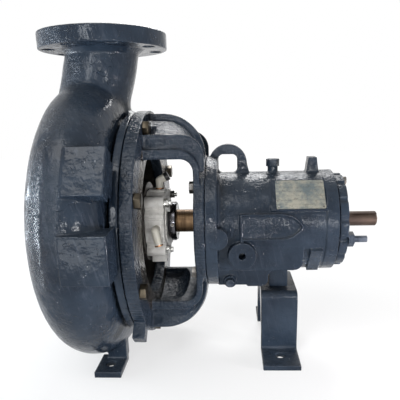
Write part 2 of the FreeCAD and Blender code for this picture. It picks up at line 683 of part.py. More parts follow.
def groove(piece, points):
    """Cuts the solid of revolution about the shaft's axis of points (x, radius)."""
    drawing = outline(side_sketch(piece), points)
    feature = add_feature(piece, "Groove", drawing)
    feature.ReferenceAxis = (drawing, ["H_Axis"])
    feature.Angle = 360
    return feature


def tube(front, back, inner, outer):
    """Outline of a plain ring for turn and groove."""
    return [(front, inner), (front, outer), (back, outer), (back, inner)]


def repeat(piece, features, count, axis="X_Axis"):
    """Repeats features evenly round an axis of the piece's origin."""
    pattern = piece.newObject("PartDesign::PolarPattern", piece.Label + "_pattern")
    pattern.Originals = features
    pattern.Axis = (origin_part(piece, axis), [""])
    pattern.Angle = 360
    tie(pattern, "Occurrences", count)
    piece.Tip = pattern
    return pattern


def loft(piece, kind, drawings):
    feature = piece.newObject("PartDesign::" + kind, piece.Label + "_neck")
    feature.Profile = drawings[0]
    feature.Sections = drawings[1:]
    feature.Ruled = True
    return feature


def volute_quarters(piece, kind, tube_radius):
    """Four quarter turns of a round tube about four centres: the draughtsman's spiral.
    Each centre is set off from the last towards the section that both share, so the tube
    runs on without a step while its distance from the axis grows."""
    near_radius = S.volute_radius + S.growth_near
    far_radius = S.volute_radius - S.growth_bottom
    tongue_radius = far_radius - S.growth_far
    low_rise = S.volute_rise - S.growth_bottom
    quarters = (
        (0, S.growth_far - S.growth_near, low_rise, tongue_radius),
        (270, -S.growth_near, low_rise, far_radius),
        (180, -S.growth_near, S.volute_rise, S.volute_radius),
        (90, as_size(0), S.volute_rise, near_radius),
    )
    for start_angle, centre_y, centre_z, radius in quarters:
        quarter = piece.newObject("PartDesign::" + kind, piece.Label + "_quarter")
        quarter.AttachmentSupport = [(origin_part(piece, "YZ_Plane"), "")]
        quarter.MapMode = "FlatFace"
        start = FreeCAD.Rotation(FreeCAD.Vector(0, 0, 1), start_angle)
        quarter.AttachmentOffset = FreeCAD.Placement(FreeCAD.Vector(), start)
        tie(quarter, "AttachmentOffset.Base.x", centre_y)
        tie(quarter, "AttachmentOffset.Base.y", centre_z)
        tie(quarter, "AttachmentOffset.Base.z", S.volute_x)
        tie(quarter, "Radius1", radius)
        tie(quarter, "Radius2", tube_radius)
        quarter.Angle3 = 90


def make_casing():
    piece = new_piece("casing")
    corner = S.casing_front_corner
    turn(piece, [
        (-S.suction_reach, 0), (-S.suction_reach, S.suction_flange_radius),
        (S.suction_flange_thick - S.suction_reach, S.suction_flange_radius),
        (S.suction_flange_thick - S.suction_reach, S.suction_neck_radius),
        (S.casing_front - corner, S.suction_neck_radius, corner),
        (S.casing_front, S.suction_neck_radius + corner),
        (S.casing_front, S.casing_core_radius), (S.casing_flange_front, S.casing_core_radius),
        (S.casing_flange_front, S.casing_flange_radius), (S.casing_face, S.casing_flange_radius),
        (S.casing_face, 0),
    ])
    volute_quarters(piece, "AdditiveTorus", S.volute_tube_radius)
    neck_top = S.discharge_rise - S.discharge_flange_thick
    neck_bore = S.discharge_bore_radius - S.neck_bore_draft
    neck_stations = (
        (neck_top, 0, S.neck_radius + S.neck_flare, S.discharge_bore_radius),
        (neck_top - S.neck_flare, -S.neck_flare / 2, S.neck_radius, S.discharge_bore_radius),
        (S.neck_lean_rise, S.neck_lean_x, S.neck_radius, neck_bore),
        (S.neck_knee_rise, S.neck_knee_x, S.neck_radius, neck_bore),
        (S.neck_root_rise, S.neck_root_x, S.neck_root_radius, neck_bore - S.casing_wall / 2),
        (S.neck_end_rise, S.volute_x, S.neck_end_radius, S.neck_end_radius),
    )
    outside = []
    inside = []
    for rise, x, radius, bore in neck_stations:
        outside.append(circle(side_sketch(piece, rise, 90), x, 0, radius))
    loft(piece, "AdditiveLoft", outside)
    flange = circle(side_sketch(piece, neck_top, 90), 0, 0, S.discharge_flange_radius)
    pad(piece, flange, S.discharge_flange_thick)

    lower = side_sketch(piece, S.pad_reach - S.pad_depth)
    rectangle(lower, S.pad_left, S.pad_bottom, S.pad_right, S.pad_top)
    pad(piece, lower, S.pad_depth)
    upper = side_sketch(piece, S.upper_pad_reach - S.pad_depth, S.upper_pad_tilt)
    rectangle(upper, S.upper_pad_left, -S.upper_pad_half, S.upper_pad_right, S.upper_pad_half)
    pad(piece, upper, S.pad_depth)

    foot_top = S.axis_height - S.casing_foot_thick
    for side in (1, -1):
        plate = side_sketch(piece, foot_top, -90)
        rectangle(
            plate, S.casing_foot_left, side * S.casing_foot_inner,
            S.casing_foot_right, side * S.casing_foot_half_length,
        )
        pad(piece, plate, S.casing_foot_thick)
        block = side_sketch(piece, -S.pedestal_top, -90)
        rectangle(
            block, S.pedestal_left, side * S.pedestal_inner, S.casing_foot_right, side * S.pedestal_outer,
        )
        pad(piece, block, foot_top + S.pedestal_top + overlap)

    volute_quarters(piece, "SubtractiveTorus", volute_cavity_radius)
    groove(piece, [
        (-S.suction_reach - overlap, 0), (-S.suction_reach - overlap, S.suction_bore_radius),
        (S.front_wall_x, S.suction_bore_radius), (S.front_wall_tip_x, S.register_radius),
        (S.cover_seat_x, S.register_radius), (S.cover_seat_x, S.cover_flange_radius + S.fit_gap),
        (S.casing_face + overlap, S.cover_flange_radius + S.fit_gap), (S.casing_face + overlap, 0),
    ])
    inside.append(circle(side_sketch(piece, S.discharge_rise + overlap, 90), 0, 0, S.discharge_bore_radius))
    for rise, x, radius, bore in neck_stations:
        inside.append(circle(side_sketch(piece, rise, 90), x, 0, bore))
    loft(piece, "SubtractiveLoft", inside)

    half_step = 180 / S.flange_hole_count
    hole = end_sketch(piece, S.suction_flange_thick - S.suction_reach, half_step)
    circle(hole, S.suction_circle_radius, 0, S.suction_hole_radius)
    repeat(piece, [cut(piece, hole, S.suction_flange_thick + overlap)], S.flange_hole_count)
    hole = side_sketch(piece, S.discharge_rise, 90)
    circle(
        hole, S.discharge_circle_radius * cosine(half_step), S.discharge_circle_radius * sine(half_step),
        S.discharge_hole_radius,
    )
    repeat(piece, [cut(piece, hole, S.discharge_flange_thick)], S.flange_hole_count, "Z_Axis")
    hole = end_sketch(piece, S.casing_face, screw_angle)
    circle(hole, S.screw_circle_radius, 0, S.screw_radius + S.fit_gap)
    repeat(piece, [cut(piece, hole, S.screw_depth + S.hole_spare)], S.screw_count)
    hole = side_sketch(piece, S.axis_height, -90)
    for side in (1, -1):
        circle(hole, 0, side * S.casing_bolt_spacing / 2, S.foot_hole_radius)
    cut(piece, hole, S.casing_foot_thick)
    return piece


def make_casing_gasket():
    piece = new_piece("casing_gasket")
    turn(piece, tube(
        S.cover_seat_x, S.cover_seat_x + S.gasket_thick, S.register_radius, S.cover_flange_radius,
    ))
    return piece


def make_rear_cover():
    piece = new_piece("rear_cover")
    rim_front = S.cover_seat_x + S.gasket_thick
    turn(piece, [
        (S.cover_face_x, S.chamber_radius), (S.cover_face_x, S.register_radius - S.fit_gap),
        (rim_front, S.register_radius - S.fit_gap), (rim_front, S.cover_flange_radius),
        (ring_front, S.cover_flange_radius), (ring_front, S.cover_rim_radius),
        (S.cover_plate_back, S.cover_rim_radius), (S.cover_plate_back, S.hub_radius),
        (S.hub_face_x, S.hub_radius), (S.hub_face_x, S.chamber_radius),
    ])
    hole = end_sketch(piece, S.hub_face_x, S.ear_angle)
    circle(hole, S.ear_circle_radius, 0, S.stud_radius + S.fit_gap)
    repeat(piece, [cut(piece, hole, S.hub_face_x - S.stud_root)], S.ear_count)
    return piece


def make_adapter():
    piece = new_piece("adapter")
    turn(piece, tube(ring_front, ring_back, S.ring_bore_radius, S.ring_radius))
    bell_start = ring_back - overlap
    curve_floor = S.bell_radius - S.bell_turn_radius
    inner_turn = S.bell_turn_radius - S.bell_wall
    arm_end = curve_floor - S.bell_root_drop
    turn(piece, [
        (bell_start, S.bell_radius - S.bell_wall), (bell_start, S.bell_radius),
        (S.bell_turn_x, S.bell_radius, -S.bell_turn_radius),
        (S.bell_turn_x + S.bell_turn_radius, curve_floor),
        (S.bell_turn_x + S.bell_turn_radius, arm_end), (S.bell_turn_x + inner_turn, arm_end),
        (S.bell_turn_x + inner_turn, curve_floor, inner_turn),
        (S.bell_turn_x, S.bell_radius - S.bell_wall),
    ])
    for tilt in (0, 180):
        beyond = side_sketch(piece, S.arm_half_width, tilt)
        rectangle(beyond, ring_back, -S.ring_radius, S.frame_joint_x, S.ring_radius)
        cut(piece, beyond, S.bell_radius, outward=True)
    turn(piece, tube(
        S.adapter_flange_front, S.frame_joint_x, S.frame_spigot_radius + S.fit_gap, S.frame_flange_radius,
    ))
    window_end = S.adapter_flange_front - S.window_corner
    window_top = S.window_half_height - S.window_corner
    window = side_sketch(piece, S.bell_radius)
    outline(window, [
        (ring_back, -S.window_half_height), (window_end, -S.window_half_height, S.window_corner),
        (S.adapter_flange_front, -window_top), (S.adapter_flange_front, window_top, S.window_corner),
        (window_end, S.window_half_height), (ring_back, S.window_half_height),
    ])
    cut(piece, window, 2 * S.bell_radius)
    rim_top = S.window_half_height + S.rim_band
    rim_end = S.adapter_flange_front + S.rim_overlap
    for tilt in (0, 180):
        rim = side_sketch(piece, S.rim_inner, tilt)
        outline(rim, [
            (bell_start, -rim_top), (rim_end - S.rim_corner, -rim_top, S.rim_corner),
            (rim_end, S.rim_corner - rim_top), (rim_end, rim_top - S.rim_corner, S.rim_corner),
            (rim_end - S.rim_corner, rim_top), (bell_start, rim_top),
            (bell_start, S.window_half_height), (window_end, S.window_half_height, -S.window_corner),
            (S.adapter_flange_front, window_top), (S.adapter_flange_front, -window_top, -S.window_corner),
            (window_end, -S.window_half_height), (bell_start, -S.window_half_height),
        ])
        pad(piece, rim, S.rim_outer - S.rim_inner)
    cheek_turn = S.frame_joint_x - S.cheek_corner
    for tilt, side in ((0, 1), (180, -1)):
        cheek = side_sketch(piece, S.rim_inner, tilt)
        corners = [
            (bell_start, S.window_half_height), (bell_start, S.cheek_rise),
            (cheek_turn, S.cheek_rise, -S.cheek_corner),
            (S.frame_joint_x, S.cheek_rise - S.cheek_corner), (S.frame_joint_x, window_top),
            (S.adapter_flange_front, window_top, S.window_corner), (window_end, S.window_half_height),
        ]
        if side < 0:
            corners = [(point[0], -point[1]) + tuple(-radius for radius in point[2:]) for point in corners]
        outline(cheek, corners)
        pad(piece, cheek, S.arm_half_width - S.rim_inner)

    fin_top = S.bell_radius + S.fin_height
    fin_turn = S.bell_turn_radius + S.fin_height
    fin_root = S.bell_turn_radius - S.fin_root
    lower_arm = side_sketch(piece)
    outline(lower_arm, [
        (bell_start, -fin_top), (S.bell_turn_x, -fin_top, fin_turn),
        (S.bell_turn_x + fin_turn, -curve_floor),
        (S.bell_turn_x + fin_root, -curve_floor, -fin_root), (S.bell_turn_x, -curve_floor - fin_root),
        (bell_start, -curve_floor - fin_root),
    ])
    sector = add_feature(piece, "Revolution", lower_arm)
    sector.ReferenceAxis = (lower_arm, ["H_Axis"])
    sector.Midplane = True
    tie(sector, "Angle", 2 * S.lower_arm_half_angle)

    fin = side_sketch(piece, -S.fin_half)
    outline(fin, [
        (ring_back, fin_top), (S.bell_turn_x, fin_top, -fin_turn),
        (S.bell_turn_x + fin_turn, curve_floor),
        (S.bell_turn_x + fin_turn, arm_end), (S.bell_turn_x + fin_root, arm_end),
        (S.bell_turn_x + fin_root, curve_floor, fin_root),
        (S.bell_turn_x, curve_floor + fin_root), (ring_back, curve_floor + fin_root),
        (ring_back, S.bell_radius),
    ])
    pad(piece, fin, 2 * S.fin_half)
    lug = end_sketch(piece, ring_front, S.lower_lug_angle)
    rectangle(lug, S.bell_radius, -S.lug_half, S.lug_reach, S.lug_half)
    repeat(piece, [pad(piece, lug, S.ring_thick)], S.lug_count)
    hole = end_sketch(piece, ring_back, screw_angle)
    circle(hole, S.screw_circle_radius, 0, S.screw_radius + S.fit_gap)
    repeat(piece, [cut(piece, hole, S.ring_thick)], S.screw_count)
    spot = end_sketch(piece, ring_back, screw_angle)
    circle(spot, S.screw_circle_radius, 0, S.spot_radius)
    repeat(piece, [cut(piece, spot, 2 * S.screw_head_tall, outward=True)], S.screw_count)
    hole = end_sketch(piece, S.frame_joint_x, S.frame_bolt_angle)
    circle(hole, S.frame_circle_radius, 0, S.frame_bolt_radius + S.fit_gap)
    repeat(piece, [cut(piece, hole, S.frame_joint_x - S.adapter_flange_front)], S.frame_bolt_count)
    return piece


def make_casing_screws():
    piece = new_piece("casing_screws")
    shank = end_sketch(piece, S.casing_face - S.screw_depth, screw_angle)
    circle(shank, S.screw_circle_radius, 0, S.screw_radius)
    head = end_sketch(piece, ring_back, screw_angle)
    hexagon(head, S.screw_circle_radius, 0, S.screw_head_across)
    both = [
        pad(piece, shank, ring_back - S.casing_face + S.screw_depth),
        pad(piece, head, S.screw_head_tall),
    ]
    repeat(piece, both, S.screw_count)
    return piece


def make_frame_bolts():
    piece = new_piece("frame_bolts")
    shank = end_sketch(piece, S.adapter_flange_front, S.frame_bolt_angle)
    circle(shank, S.frame_circle_radius, 0, S.frame_bolt_radius)
    head = end_sketch(piece, S.adapter_flange_front - S.frame_bolt_head, S.frame_bolt_angle)
    hexagon(head, S.frame_circle_radius, 0, S.frame_bolt_across)
    both = [
        pad(piece, head, S.frame_bolt_head),
        pad(piece, shank, S.frame_joint_x - S.adapter_flange_front + S.frame_bolt_depth),
    ]
    repeat(piece, both, S.frame_bolt_count)
    return piece


def badge_outline(drawing, inset):
    """A bar with a pointed right end, set in from the badge pad's edge."""
    high = S.badge_half_high - inset
    point = S.badge_point_long - inset
    bow = (point * point + high * high) / (2 * high)
    shoulder = S.badge_right - S.badge_point_long
    return outline(drawing, [
        (S.badge_left + inset, -high), (shoulder, -high, bow), (S.badge_right - inset, 0, bow),
        (shoulder, high), (S.badge_left + inset, high),
    ])


def make_bearing_housing():
    piece = new_piece("bearing_housing")
    spigot_front = S.frame_joint_x - S.frame_spigot_long
    fillet = S.housing_fillet
    turn(piece, [
        (spigot_front, 0), (spigot_front, S.frame_spigot_radius),
        (S.frame_joint_x, S.frame_spigot_radius), (S.frame_joint_x, S.housing_flange_radius),
        (S.housing_flange_back, S.housing_flange_radius),
        (S.housing_flange_back, S.housing_radius + fillet, fillet),
        (S.housing_flange_back + fillet, S.housing_radius), (S.housing_rim_front, S.housing_radius),
        (S.housing_rim_front, S.housing_rim_radius), (S.housing_end, S.housing_rim_radius),
        (S.housing_end, 0),
    ])
    inside_flange = S.housing_flange_back - overlap
    sump = side_sketch(piece, -S.sump_half_width)
    outline(sump, [
        (inside_flange, S.sump_root), (inside_flange, S.sump_bottom + S.sump_step),
        (S.sump_block_x, S.sump_bottom + S.sump_step), (S.sump_block_x, S.sump_bottom),
        (S.sump_end - S.sump_corner, S.sump_bottom, S.sump_corner),
        (S.sump_end, S.sump_bottom + S.sump_corner),
        (S.sump_end, S.sump_bottom + S.sump_drop, S.sump_end - S.sump_tail_x),
        (S.sump_tail_x, S.sump_root),
    ])
    pad(piece, sump, 2 * S.sump_half_width)
    chamber = side_sketch(piece, -S.chamber_side_reach)
    outline(chamber, [
        (inside_flange, S.chamber_side_bottom),
        (S.chamber_side_end - S.chamber_side_corner, S.chamber_side_bottom, S.chamber_side_corner),
        (S.chamber_side_end, S.chamber_side_bottom + S.chamber_side_corner),
        (S.chamber_side_end, S.chamber_side_top), (inside_flange, S.chamber_side_top),
    ])
    pad(piece, chamber, 2 * S.chamber_side_reach)
    boss = side_sketch(piece, S.housing_root, -90)
    rectangle(boss, S.seat_left, -S.seat_half_width, S.seat_right, S.seat_half_width)
    pad(piece, boss, -S.rear_foot_top - S.housing_root)

    loop_outer = S.loop_eye_half + S.loop_wall
    loop = side_sketch(piece, -S.loop_half_thick)
    outline(loop, [
        (S.loop_x - loop_outer, S.housing_root), (S.loop_x + loop_outer + S.loop_spread, S.housing_root),
        (S.loop_x + loop_outer, S.loop_rise, loop_outer),
        (S.loop_x, S.loop_rise + loop_outer, loop_outer),
        (S.loop_x - loop_outer, S.loop_rise),
    ])
    pad(piece, loop, 2 * S.loop_half_thick)
    gauge = circle(side_sketch(piece, S.housing_root), S.gauge_x, S.gauge_z, S.gauge_radius)
    pad(piece, gauge, S.gauge_reach - S.housing_root)
    filler = circle(side_sketch(piece, S.housing_root, 90), S.filler_x, 0, S.filler_neck_radius)
    pad(piece, filler, S.filler_rise - S.housing_root)
    lug = side_sketch(piece, -S.vent_lug_half_thick)
    outline(lug, [
        (S.vent_lug_x - S.vent_lug_half, S.housing_root), (S.vent_lug_x + S.vent_lug_half, S.housing_root),
        (S.vent_lug_x + S.vent_lug_top_half, S.vent_lug_rise),
        (S.vent_lug_x - S.vent_lug_top_half, S.vent_lug_rise),
    ])
    pad(piece, lug, 2 * S.vent_lug_half_thick)
    ear = circle(side_sketch(piece, S.ear_boss_root), S.housing_flange_back, S.ear_boss_z, S.ear_boss_radius)
    pad(piece, ear, S.ear_boss_reach - S.ear_boss_root)
    for floor, apply, height in (
        (S.housing_root, pad, S.plate_seat_reach - S.housing_root),
        (S.plate_seat_reach, clear_above, S.plate_clear),
    ):
        seat = side_sketch(piece, floor, S.plate_tilt)
        high = S.plate_half + S.plate_margin
        rectangle(seat, S.plate_pad_left, -high, S.housing_rim_front, high)
        apply(piece, seat, height)
    patch = side_sketch(piece, S.housing_root, S.patch_tilt)
    rectangle(patch, S.patch_left, -S.patch_half, S.patch_right, S.patch_half)
    pad(piece, patch, S.patch_reach - S.housing_root)
    badge = badge_outline(side_sketch(piece, S.housing_root, S.badge_tilt), as_size(0))
    pad(piece, badge, S.badge_reach - S.housing_root)
    badge = badge_outline(side_sketch(piece, S.badge_reach, S.badge_tilt), S.badge_rim)
    cut(piece, badge, S.badge_bead)
    drain = circle(side_sketch(piece, S.drain_boss_root), S.drain_x, S.drain_rise, S.drain_boss_radius)
    pad(piece, drain, S.drain_boss_reach - S.drain_boss_root)

    isolator_back = S.frame_joint_x + S.isolator_long
    seat_front = S.radial_bearing_x - S.bearing_play
    seat_back = radial_bearing_back + S.bearing_play
    groove(piece, [
        (spigot_front - overlap, 0), (spigot_front - overlap, S.isolator_radius + S.fit_gap),
        (isolator_back, S.isolator_radius + S.fit_gap), (isolator_back, S.housing_shoulder_radius),
        (seat_front, S.housing_shoulder_radius), (seat_front, S.bearing_radius + S.fit_gap),
        (seat_back, S.bearing_radius + S.fit_gap), (seat_back, S.housing_cavity_radius),
        (S.housing_cavity_back, S.housing_cavity_radius),
        (S.housing_cavity_back, S.carrier_radius + S.fit_gap),
        (S.housing_end + overlap, S.carrier_radius + S.fit_gap), (S.housing_end + overlap, 0),
    ])
    eye = side_sketch(piece, S.loop_half_thick)
    rounded_rectangle(
        eye, S.loop_x - S.loop_eye_half, S.loop_rise - S.loop_eye_half,
        S.loop_x + S.loop_eye_half, S.loop_rise + S.loop_eye_half, S.loop_eye_corner,
    )
    cut(piece, eye, 2 * S.loop_half_thick)
    hole = circle(side_sketch(piece, S.gauge_reach), S.gauge_x, S.gauge_z, S.gauge_hole_radius)
    cut(piece, hole, S.gauge_hole_deep)
    hole = circle(side_sketch(piece, S.filler_rise, 90), S.filler_x, 0, S.plug_radius + S.fit_gap)
    cut(piece, hole, S.plug_depth + S.hole_spare)
    hole = side_sketch(piece, S.drain_boss_reach)
    circle(hole, S.drain_x, S.drain_rise, S.plug_radius + S.fit_gap)
    cut(piece, hole, S.plug_depth + S.hole_spare)
    hole = end_sketch(piece, S.frame_joint_x, S.frame_bolt_angle)
    circle(hole, S.frame_circle_radius, 0, S.frame_bolt_radius + S.fit_gap)
    bolt_hole = cut(piece, hole, S.frame_bolt_depth + S.hole_spare, outward=True)
    repeat(piece, [bolt_hole], S.frame_bolt_count)
    hole = side_sketch(piece, -S.rear_foot_top, -90)
    for side in (1, -1):
        circle(hole, rear_foot_middle, side * S.foot_screw_half, S.frame_bolt_radius + S.fit_gap)
    cut(piece, hole, S.foot_screw_depth + S.hole_spare)
    return piece


def make_nameplate():
    piece = new_piece("nameplate")
    plate = side_sketch(piece, S.plate_seat_reach, S.plate_tilt)
    rounded_rectangle(plate, S.plate_left, -S.plate_half, S.plate_right, S.plate_half, S.plate_corner)
    pad(piece, plate, S.plate_thick)
    return piece


def make_nameplate_pins():
    piece = new_piece("nameplate_pins")
    for x in (S.plate_left + S.pin_inset, S.plate_right - S.pin_inset):
        for side in (1, -1):
            pin = side_sketch(piece, S.plate_seat_reach + S.plate_thick, S.plate_tilt)
            circle(pin, x, side * (S.plate_half - S.pin_inset), S.pin_radius)
            pad(piece, pin, S.pin_head)
    return piece


def make_filler_plug():
    piece = new_piece("filler_plug")
    thread = circle(side_sketch(piece, S.filler_rise - S.plug_depth, 90), S.filler_x, 0, S.plug_radius)
    pad(piece, thread, S.plug_depth)
    head = hexagon(side_sketch(piece, S.filler_rise, 90), S.filler_x, 0, S.filler_plug_across)
    pad(piece, head, S.filler_plug_head)
    return piece


def make_drain_plug():
    piece = new_piece("drain_plug")
    thread = side_sketch(piece, S.drain_boss_reach - S.plug_depth)
    pad(piece, circle(thread, S.drain_x, S.drain_rise, S.plug_radius), S.plug_depth)
    head = side_sketch(piece, S.drain_boss_reach)
    pad(piece, hexagon(head, S.drain_x, S.drain_rise, S.drain_across), S.drain_head)
    return piece


def make_rear_foot():
    piece = new_piece("rear_foot")
    bend = S.rear_bend
    inner_bend = S.rear_bend - S.rear_foot_thick
    top = S.rear_foot_top
    under = top - S.rear_foot_thick
    leg = S.rear_leg_half
    inner_leg = leg - S.rear_foot_thick
    toe_top = floor_z + S.rear_foot_thick
    profile = end_sketch(piece, S.rear_foot_left)
    heel = leg + inner_bend
    toe = S.rear_toe_half
    outline(profile, [
        (leg, top - bend, bend), (leg - bend, top), (bend - leg, top, bend), (-leg, top - bend),
        (-leg, toe_top + inner_bend, -inner_bend), (-heel, toe_top), (-toe, toe_top),
        (-toe, floor_z), (-heel, floor_z, bend), (bend - heel, floor_z + bend),
        (-inner_leg, under - inner_bend, -inner_bend), (inner_bend - inner_leg, under),
        (inner_leg - inner_bend, under, -inner_bend), (inner_leg, under - inner_bend),
        (heel - bend, floor_z + bend, bend), (heel, floor_z), (toe, floor_z),
        (toe, toe_top), (heel, toe_top, -inner_bend), (leg, toe_top + inner_bend),
    ])
    pad(piece, profile, S.rear_foot_right - S.rear_foot_left)
    for side in (1, -1):
        gusset = end_sketch(piece, S.rear_foot_left)
        outline(gusset, [
            (side * (inner_leg + overlap), under + overlap),
            (side * (inner_leg - S.gusset_reach), under + overlap),
            (side * (inner_leg - S.gusset_reach), under), (side * inner_leg, under - S.gusset_drop),
            (side * (inner_leg + overlap), under - S.gusset_drop),
        ])
        pad(piece, gusset, S.gusset_thick)
    hole = side_sketch(piece, S.axis_height, -90)
    for side in (1, -1):
        circle(hole, S.foot_distance, side * S.rear_bolt_spacing / 2, S.foot_hole_radius)
    cut(piece, hole, S.rear_foot_thick)
    hole = side_sketch(piece, -under, -90)
    for side in (1, -1):
        circle(hole, rear_foot_middle, side * S.foot_screw_half, S.frame_bolt_radius + S.fit_gap)
    cut(piece, hole, S.rear_foot_thick)
    return piece


def make_foot_screws():
    piece = new_piece("foot_screws")
    under = S.rear_foot_thick - S.rear_foot_top
    for side in (1, -1):
        shank = side_sketch(piece, under, -90)
        circle(shank, rear_foot_middle, side * S.foot_screw_half, S.frame_bolt_radius)
        feature = pad(piece, shank, S.rear_foot_thick + S.foot_screw_depth)
        feature.Reversed = True
        head = side_sketch(piece, under, -90)
        hexagon(head, rear_foot_middle, side * S.foot_screw_half, S.frame_bolt_across)
        pad(piece, head, S.frame_bolt_head)
    return piece


def make_seal_gland():
    piece = new_piece("seal_gland")
    turn(piece, [
        (S.gland_spigot_x, S.gland_bore_radius), (S.gland_spigot_x, S.chamber_radius - S.fit_gap),
        (gland_front, S.chamber_radius - S.fit_gap), (gland_front, S.gland_radius),
        (gland_back, S.gland_radius), (gland_back, S.gland_nose_radius),
        (S.gland_nose_x, S.gland_nose_radius),
        (S.gland_nose_x, S.gland_lip_radius), (gland_back - S.gland_bore_depth, S.gland_lip_radius),
        (gland_back - S.gland_bore_depth, S.gland_bore_radius),
    ])
    sides = 8
    half_side = as_size(180 / sides)
    plate = end_sketch(piece, gland_front, half_side)
    corner = S.gland_flat_reach / cosine(half_side)
    outline(plate, [polar(corner, 2 * half_side * step) for step in range(sides)])
    circle(plate, 0, 0, S.gland_radius - overlap)
    pad(piece, plate, S.gland_thick)
    ear = end_sketch(piece, gland_front, S.ear_angle)
    outline(ear, [
        (S.gland_nose_radius, -S.ear_radius), (S.ear_circle_radius, -S.ear_radius, S.ear_radius),
        (S.ear_circle_radius + S.ear_radius, 0, S.ear_radius), (S.ear_circle_radius, S.ear_radius),
        (S.gland_nose_radius, S.ear_radius),
    ])
    repeat(piece, [pad(piece, ear, S.ear_thick)], S.ear_count)
    port_back = gland_back - S.port_step
    for tilt, reach in (
        (S.upper_port_tilt, S.port_reach), (S.lower_port_tilt, S.port_reach),
        (S.drain_port_tilt, S.drain_port_reach),
    ):
        port = side_sketch(piece, S.gland_nose_radius, tilt)
        rectangle(port, gland_front, -S.port_half, port_back, S.port_half)
        pad(piece, port, S.port_reach - S.port_step - S.gland_nose_radius)
        boss = side_sketch(piece, S.gland_nose_radius, tilt)
        rectangle(
            boss, gland_front + S.port_step, -S.port_boss_half, port_back - S.port_step, S.port_boss_half,
        )
        pad(piece, boss, reach - S.gland_nose_radius)
    hole = end_sketch(piece, gland_front + S.ear_thick, S.ear_angle)
    circle(hole, S.ear_circle_radius, 0, S.stud_radius + S.fit_gap)
    repeat(piece, [cut(piece, hole, S.ear_thick)], S.ear_count)
    return piece


def make_gland_gasket():
    piece = new_piece("gland_gasket")
    turn(piece, tube(
        S.hub_face_x, gland_front, S.chamber_radius + S.fit_gap, S.gland_radius - S.gasket_inset,
    ))
    return piece


def make_gland_studs():
    piece = new_piece("gland_studs")
    stud = circle(end_sketch(piece, S.stud_root, S.ear_angle), S.ear_circle_radius, 0, S.stud_radius)
    repeat(piece, [pad(piece, stud, S.stud_tail - S.stud_root)], S.ear_count)
    return piece


def make_gland_nuts():
    piece = new_piece("gland_nuts")
    nut = end_sketch(piece, gland_front + S.ear_thick, S.ear_angle)
    hexagon(nut, S.ear_circle_radius, 0, S.nut_across)
    circle(nut, S.ear_circle_radius, 0, S.stud_radius + S.fit_gap)
    repeat(piece, [pad(piece, nut, S.nut_tall)], S.ear_count)
    return piece


def make_setting_clips():
    piece = new_piece("setting_clips")
    clip = end_sketch(piece, S.gland_nose_x, S.clip_angle)
    rectangle(clip, S.collar_radius + S.clip_gap, -S.clip_half, S.clip_reach, S.clip_half)
    first = pad(piece, clip, S.clip_long)
    foot = end_sketch(piece, gland_back, S.clip_angle)
    rectangle(foot, S.gland_nose_radius, -S.clip_half, S.clip_reach, S.clip_half)
    second = pad(piece, foot, S.gland_nose_x - gland_back)
    repeat(piece, [first, second], S.clip_count)
    return piece


def elbow_leg(name, radius, height, base, direction):
    leg = doc.addObject("Part::Cylinder", name)
    tie(leg, "Radius", radius)
    tie(leg, "Height", height)
    leg.Placement = FreeCAD.Placement(base, FreeCAD.Rotation(FreeCAD.Vector(0, 0, 1), direction))
    return leg


def make_elbow(label, tilt, run_long, lean, ring_label, cap_label=None):
    """A bent plug that stands on a flush port. Its lean is along the shaft, around it and
    outwards. A capped elbow has its ring at the foot, an open one at the tip."""
    angle = math.radians(tilt.value)
    out = FreeCAD.Vector(0, -math.cos(angle), math.sin(angle))
    around = FreeCAD.Vector(0, -math.sin(angle), -math.cos(angle))
    base = FreeCAD.Vector(S.port_x.value, 0, S.axis_height.value) + out * S.port_reach.value
    foot = base + out * (S.elbow_ring_thick.value if cap_label else 0)
    knee = foot + out * S.elbow_rise.value
    run = (FreeCAD.Vector(1, 0, 0) * lean[0] + around * lean[1] + out * lean[2]).normalize()
    first = elbow_leg(label + "_first", S.elbow_radius, S.elbow_rise, foot, out)
    second = elbow_leg(label + "_second", S.elbow_radius, run_long, knee, run)
    ball = doc.addObject("Part::Sphere", label + "_knee")
    tie(ball, "Radius", S.elbow_radius)
    ball.Placement.Base = knee
    piece = doc.addObject("Part::MultiFuse", label)
    piece.Shapes = [first, second, ball]
    piece.Label = label
    pieces = [piece]
    tip = knee + run * run_long.value
    ring_place, ring_turn = (base, out) if cap_label else (tip, run)
    ring = elbow_leg(ring_label, S.elbow_radius + S.elbow_ring_lip, S.elbow_ring_thick, ring_place, ring_turn)
    ring.Label = ring_label
    pieces.append(ring)
    if cap_label:
        cap = elbow_leg(cap_label, S.elbow_radius + S.elbow_cap_lip, S.elbow_cap_long, tip, run)
        cap.Label = cap_label
        pieces.append(cap)
    return pieces


def make_seal_seat():
    piece = new_piece("stationary_seal_face")
    turn(piece, tube(
        S.seal_plane_x, S.seal_plane_x + S.seat_long,
        S.face_inner_radius, S.gland_bore_radius - S.running_gap,
    ))
    return piece


def make_seal_face():
    piece = new_piece("rotating_seal_face")
    turn(piece, tube(
        S.seal_plane_x - S.running_gap - S.face_thick, S.seal_plane_x - S.running_gap,
        S.sleeve_radius, S.face_outer_radius,
    ))
    return piece


def make_seal_sleeve():
    piece = new_piece("seal_sleeve")
    turn(piece, tube(S.sleeve_front, S.collar_back, S.shaft_radius + S.fit_gap, S.sleeve_radius))
    return piece


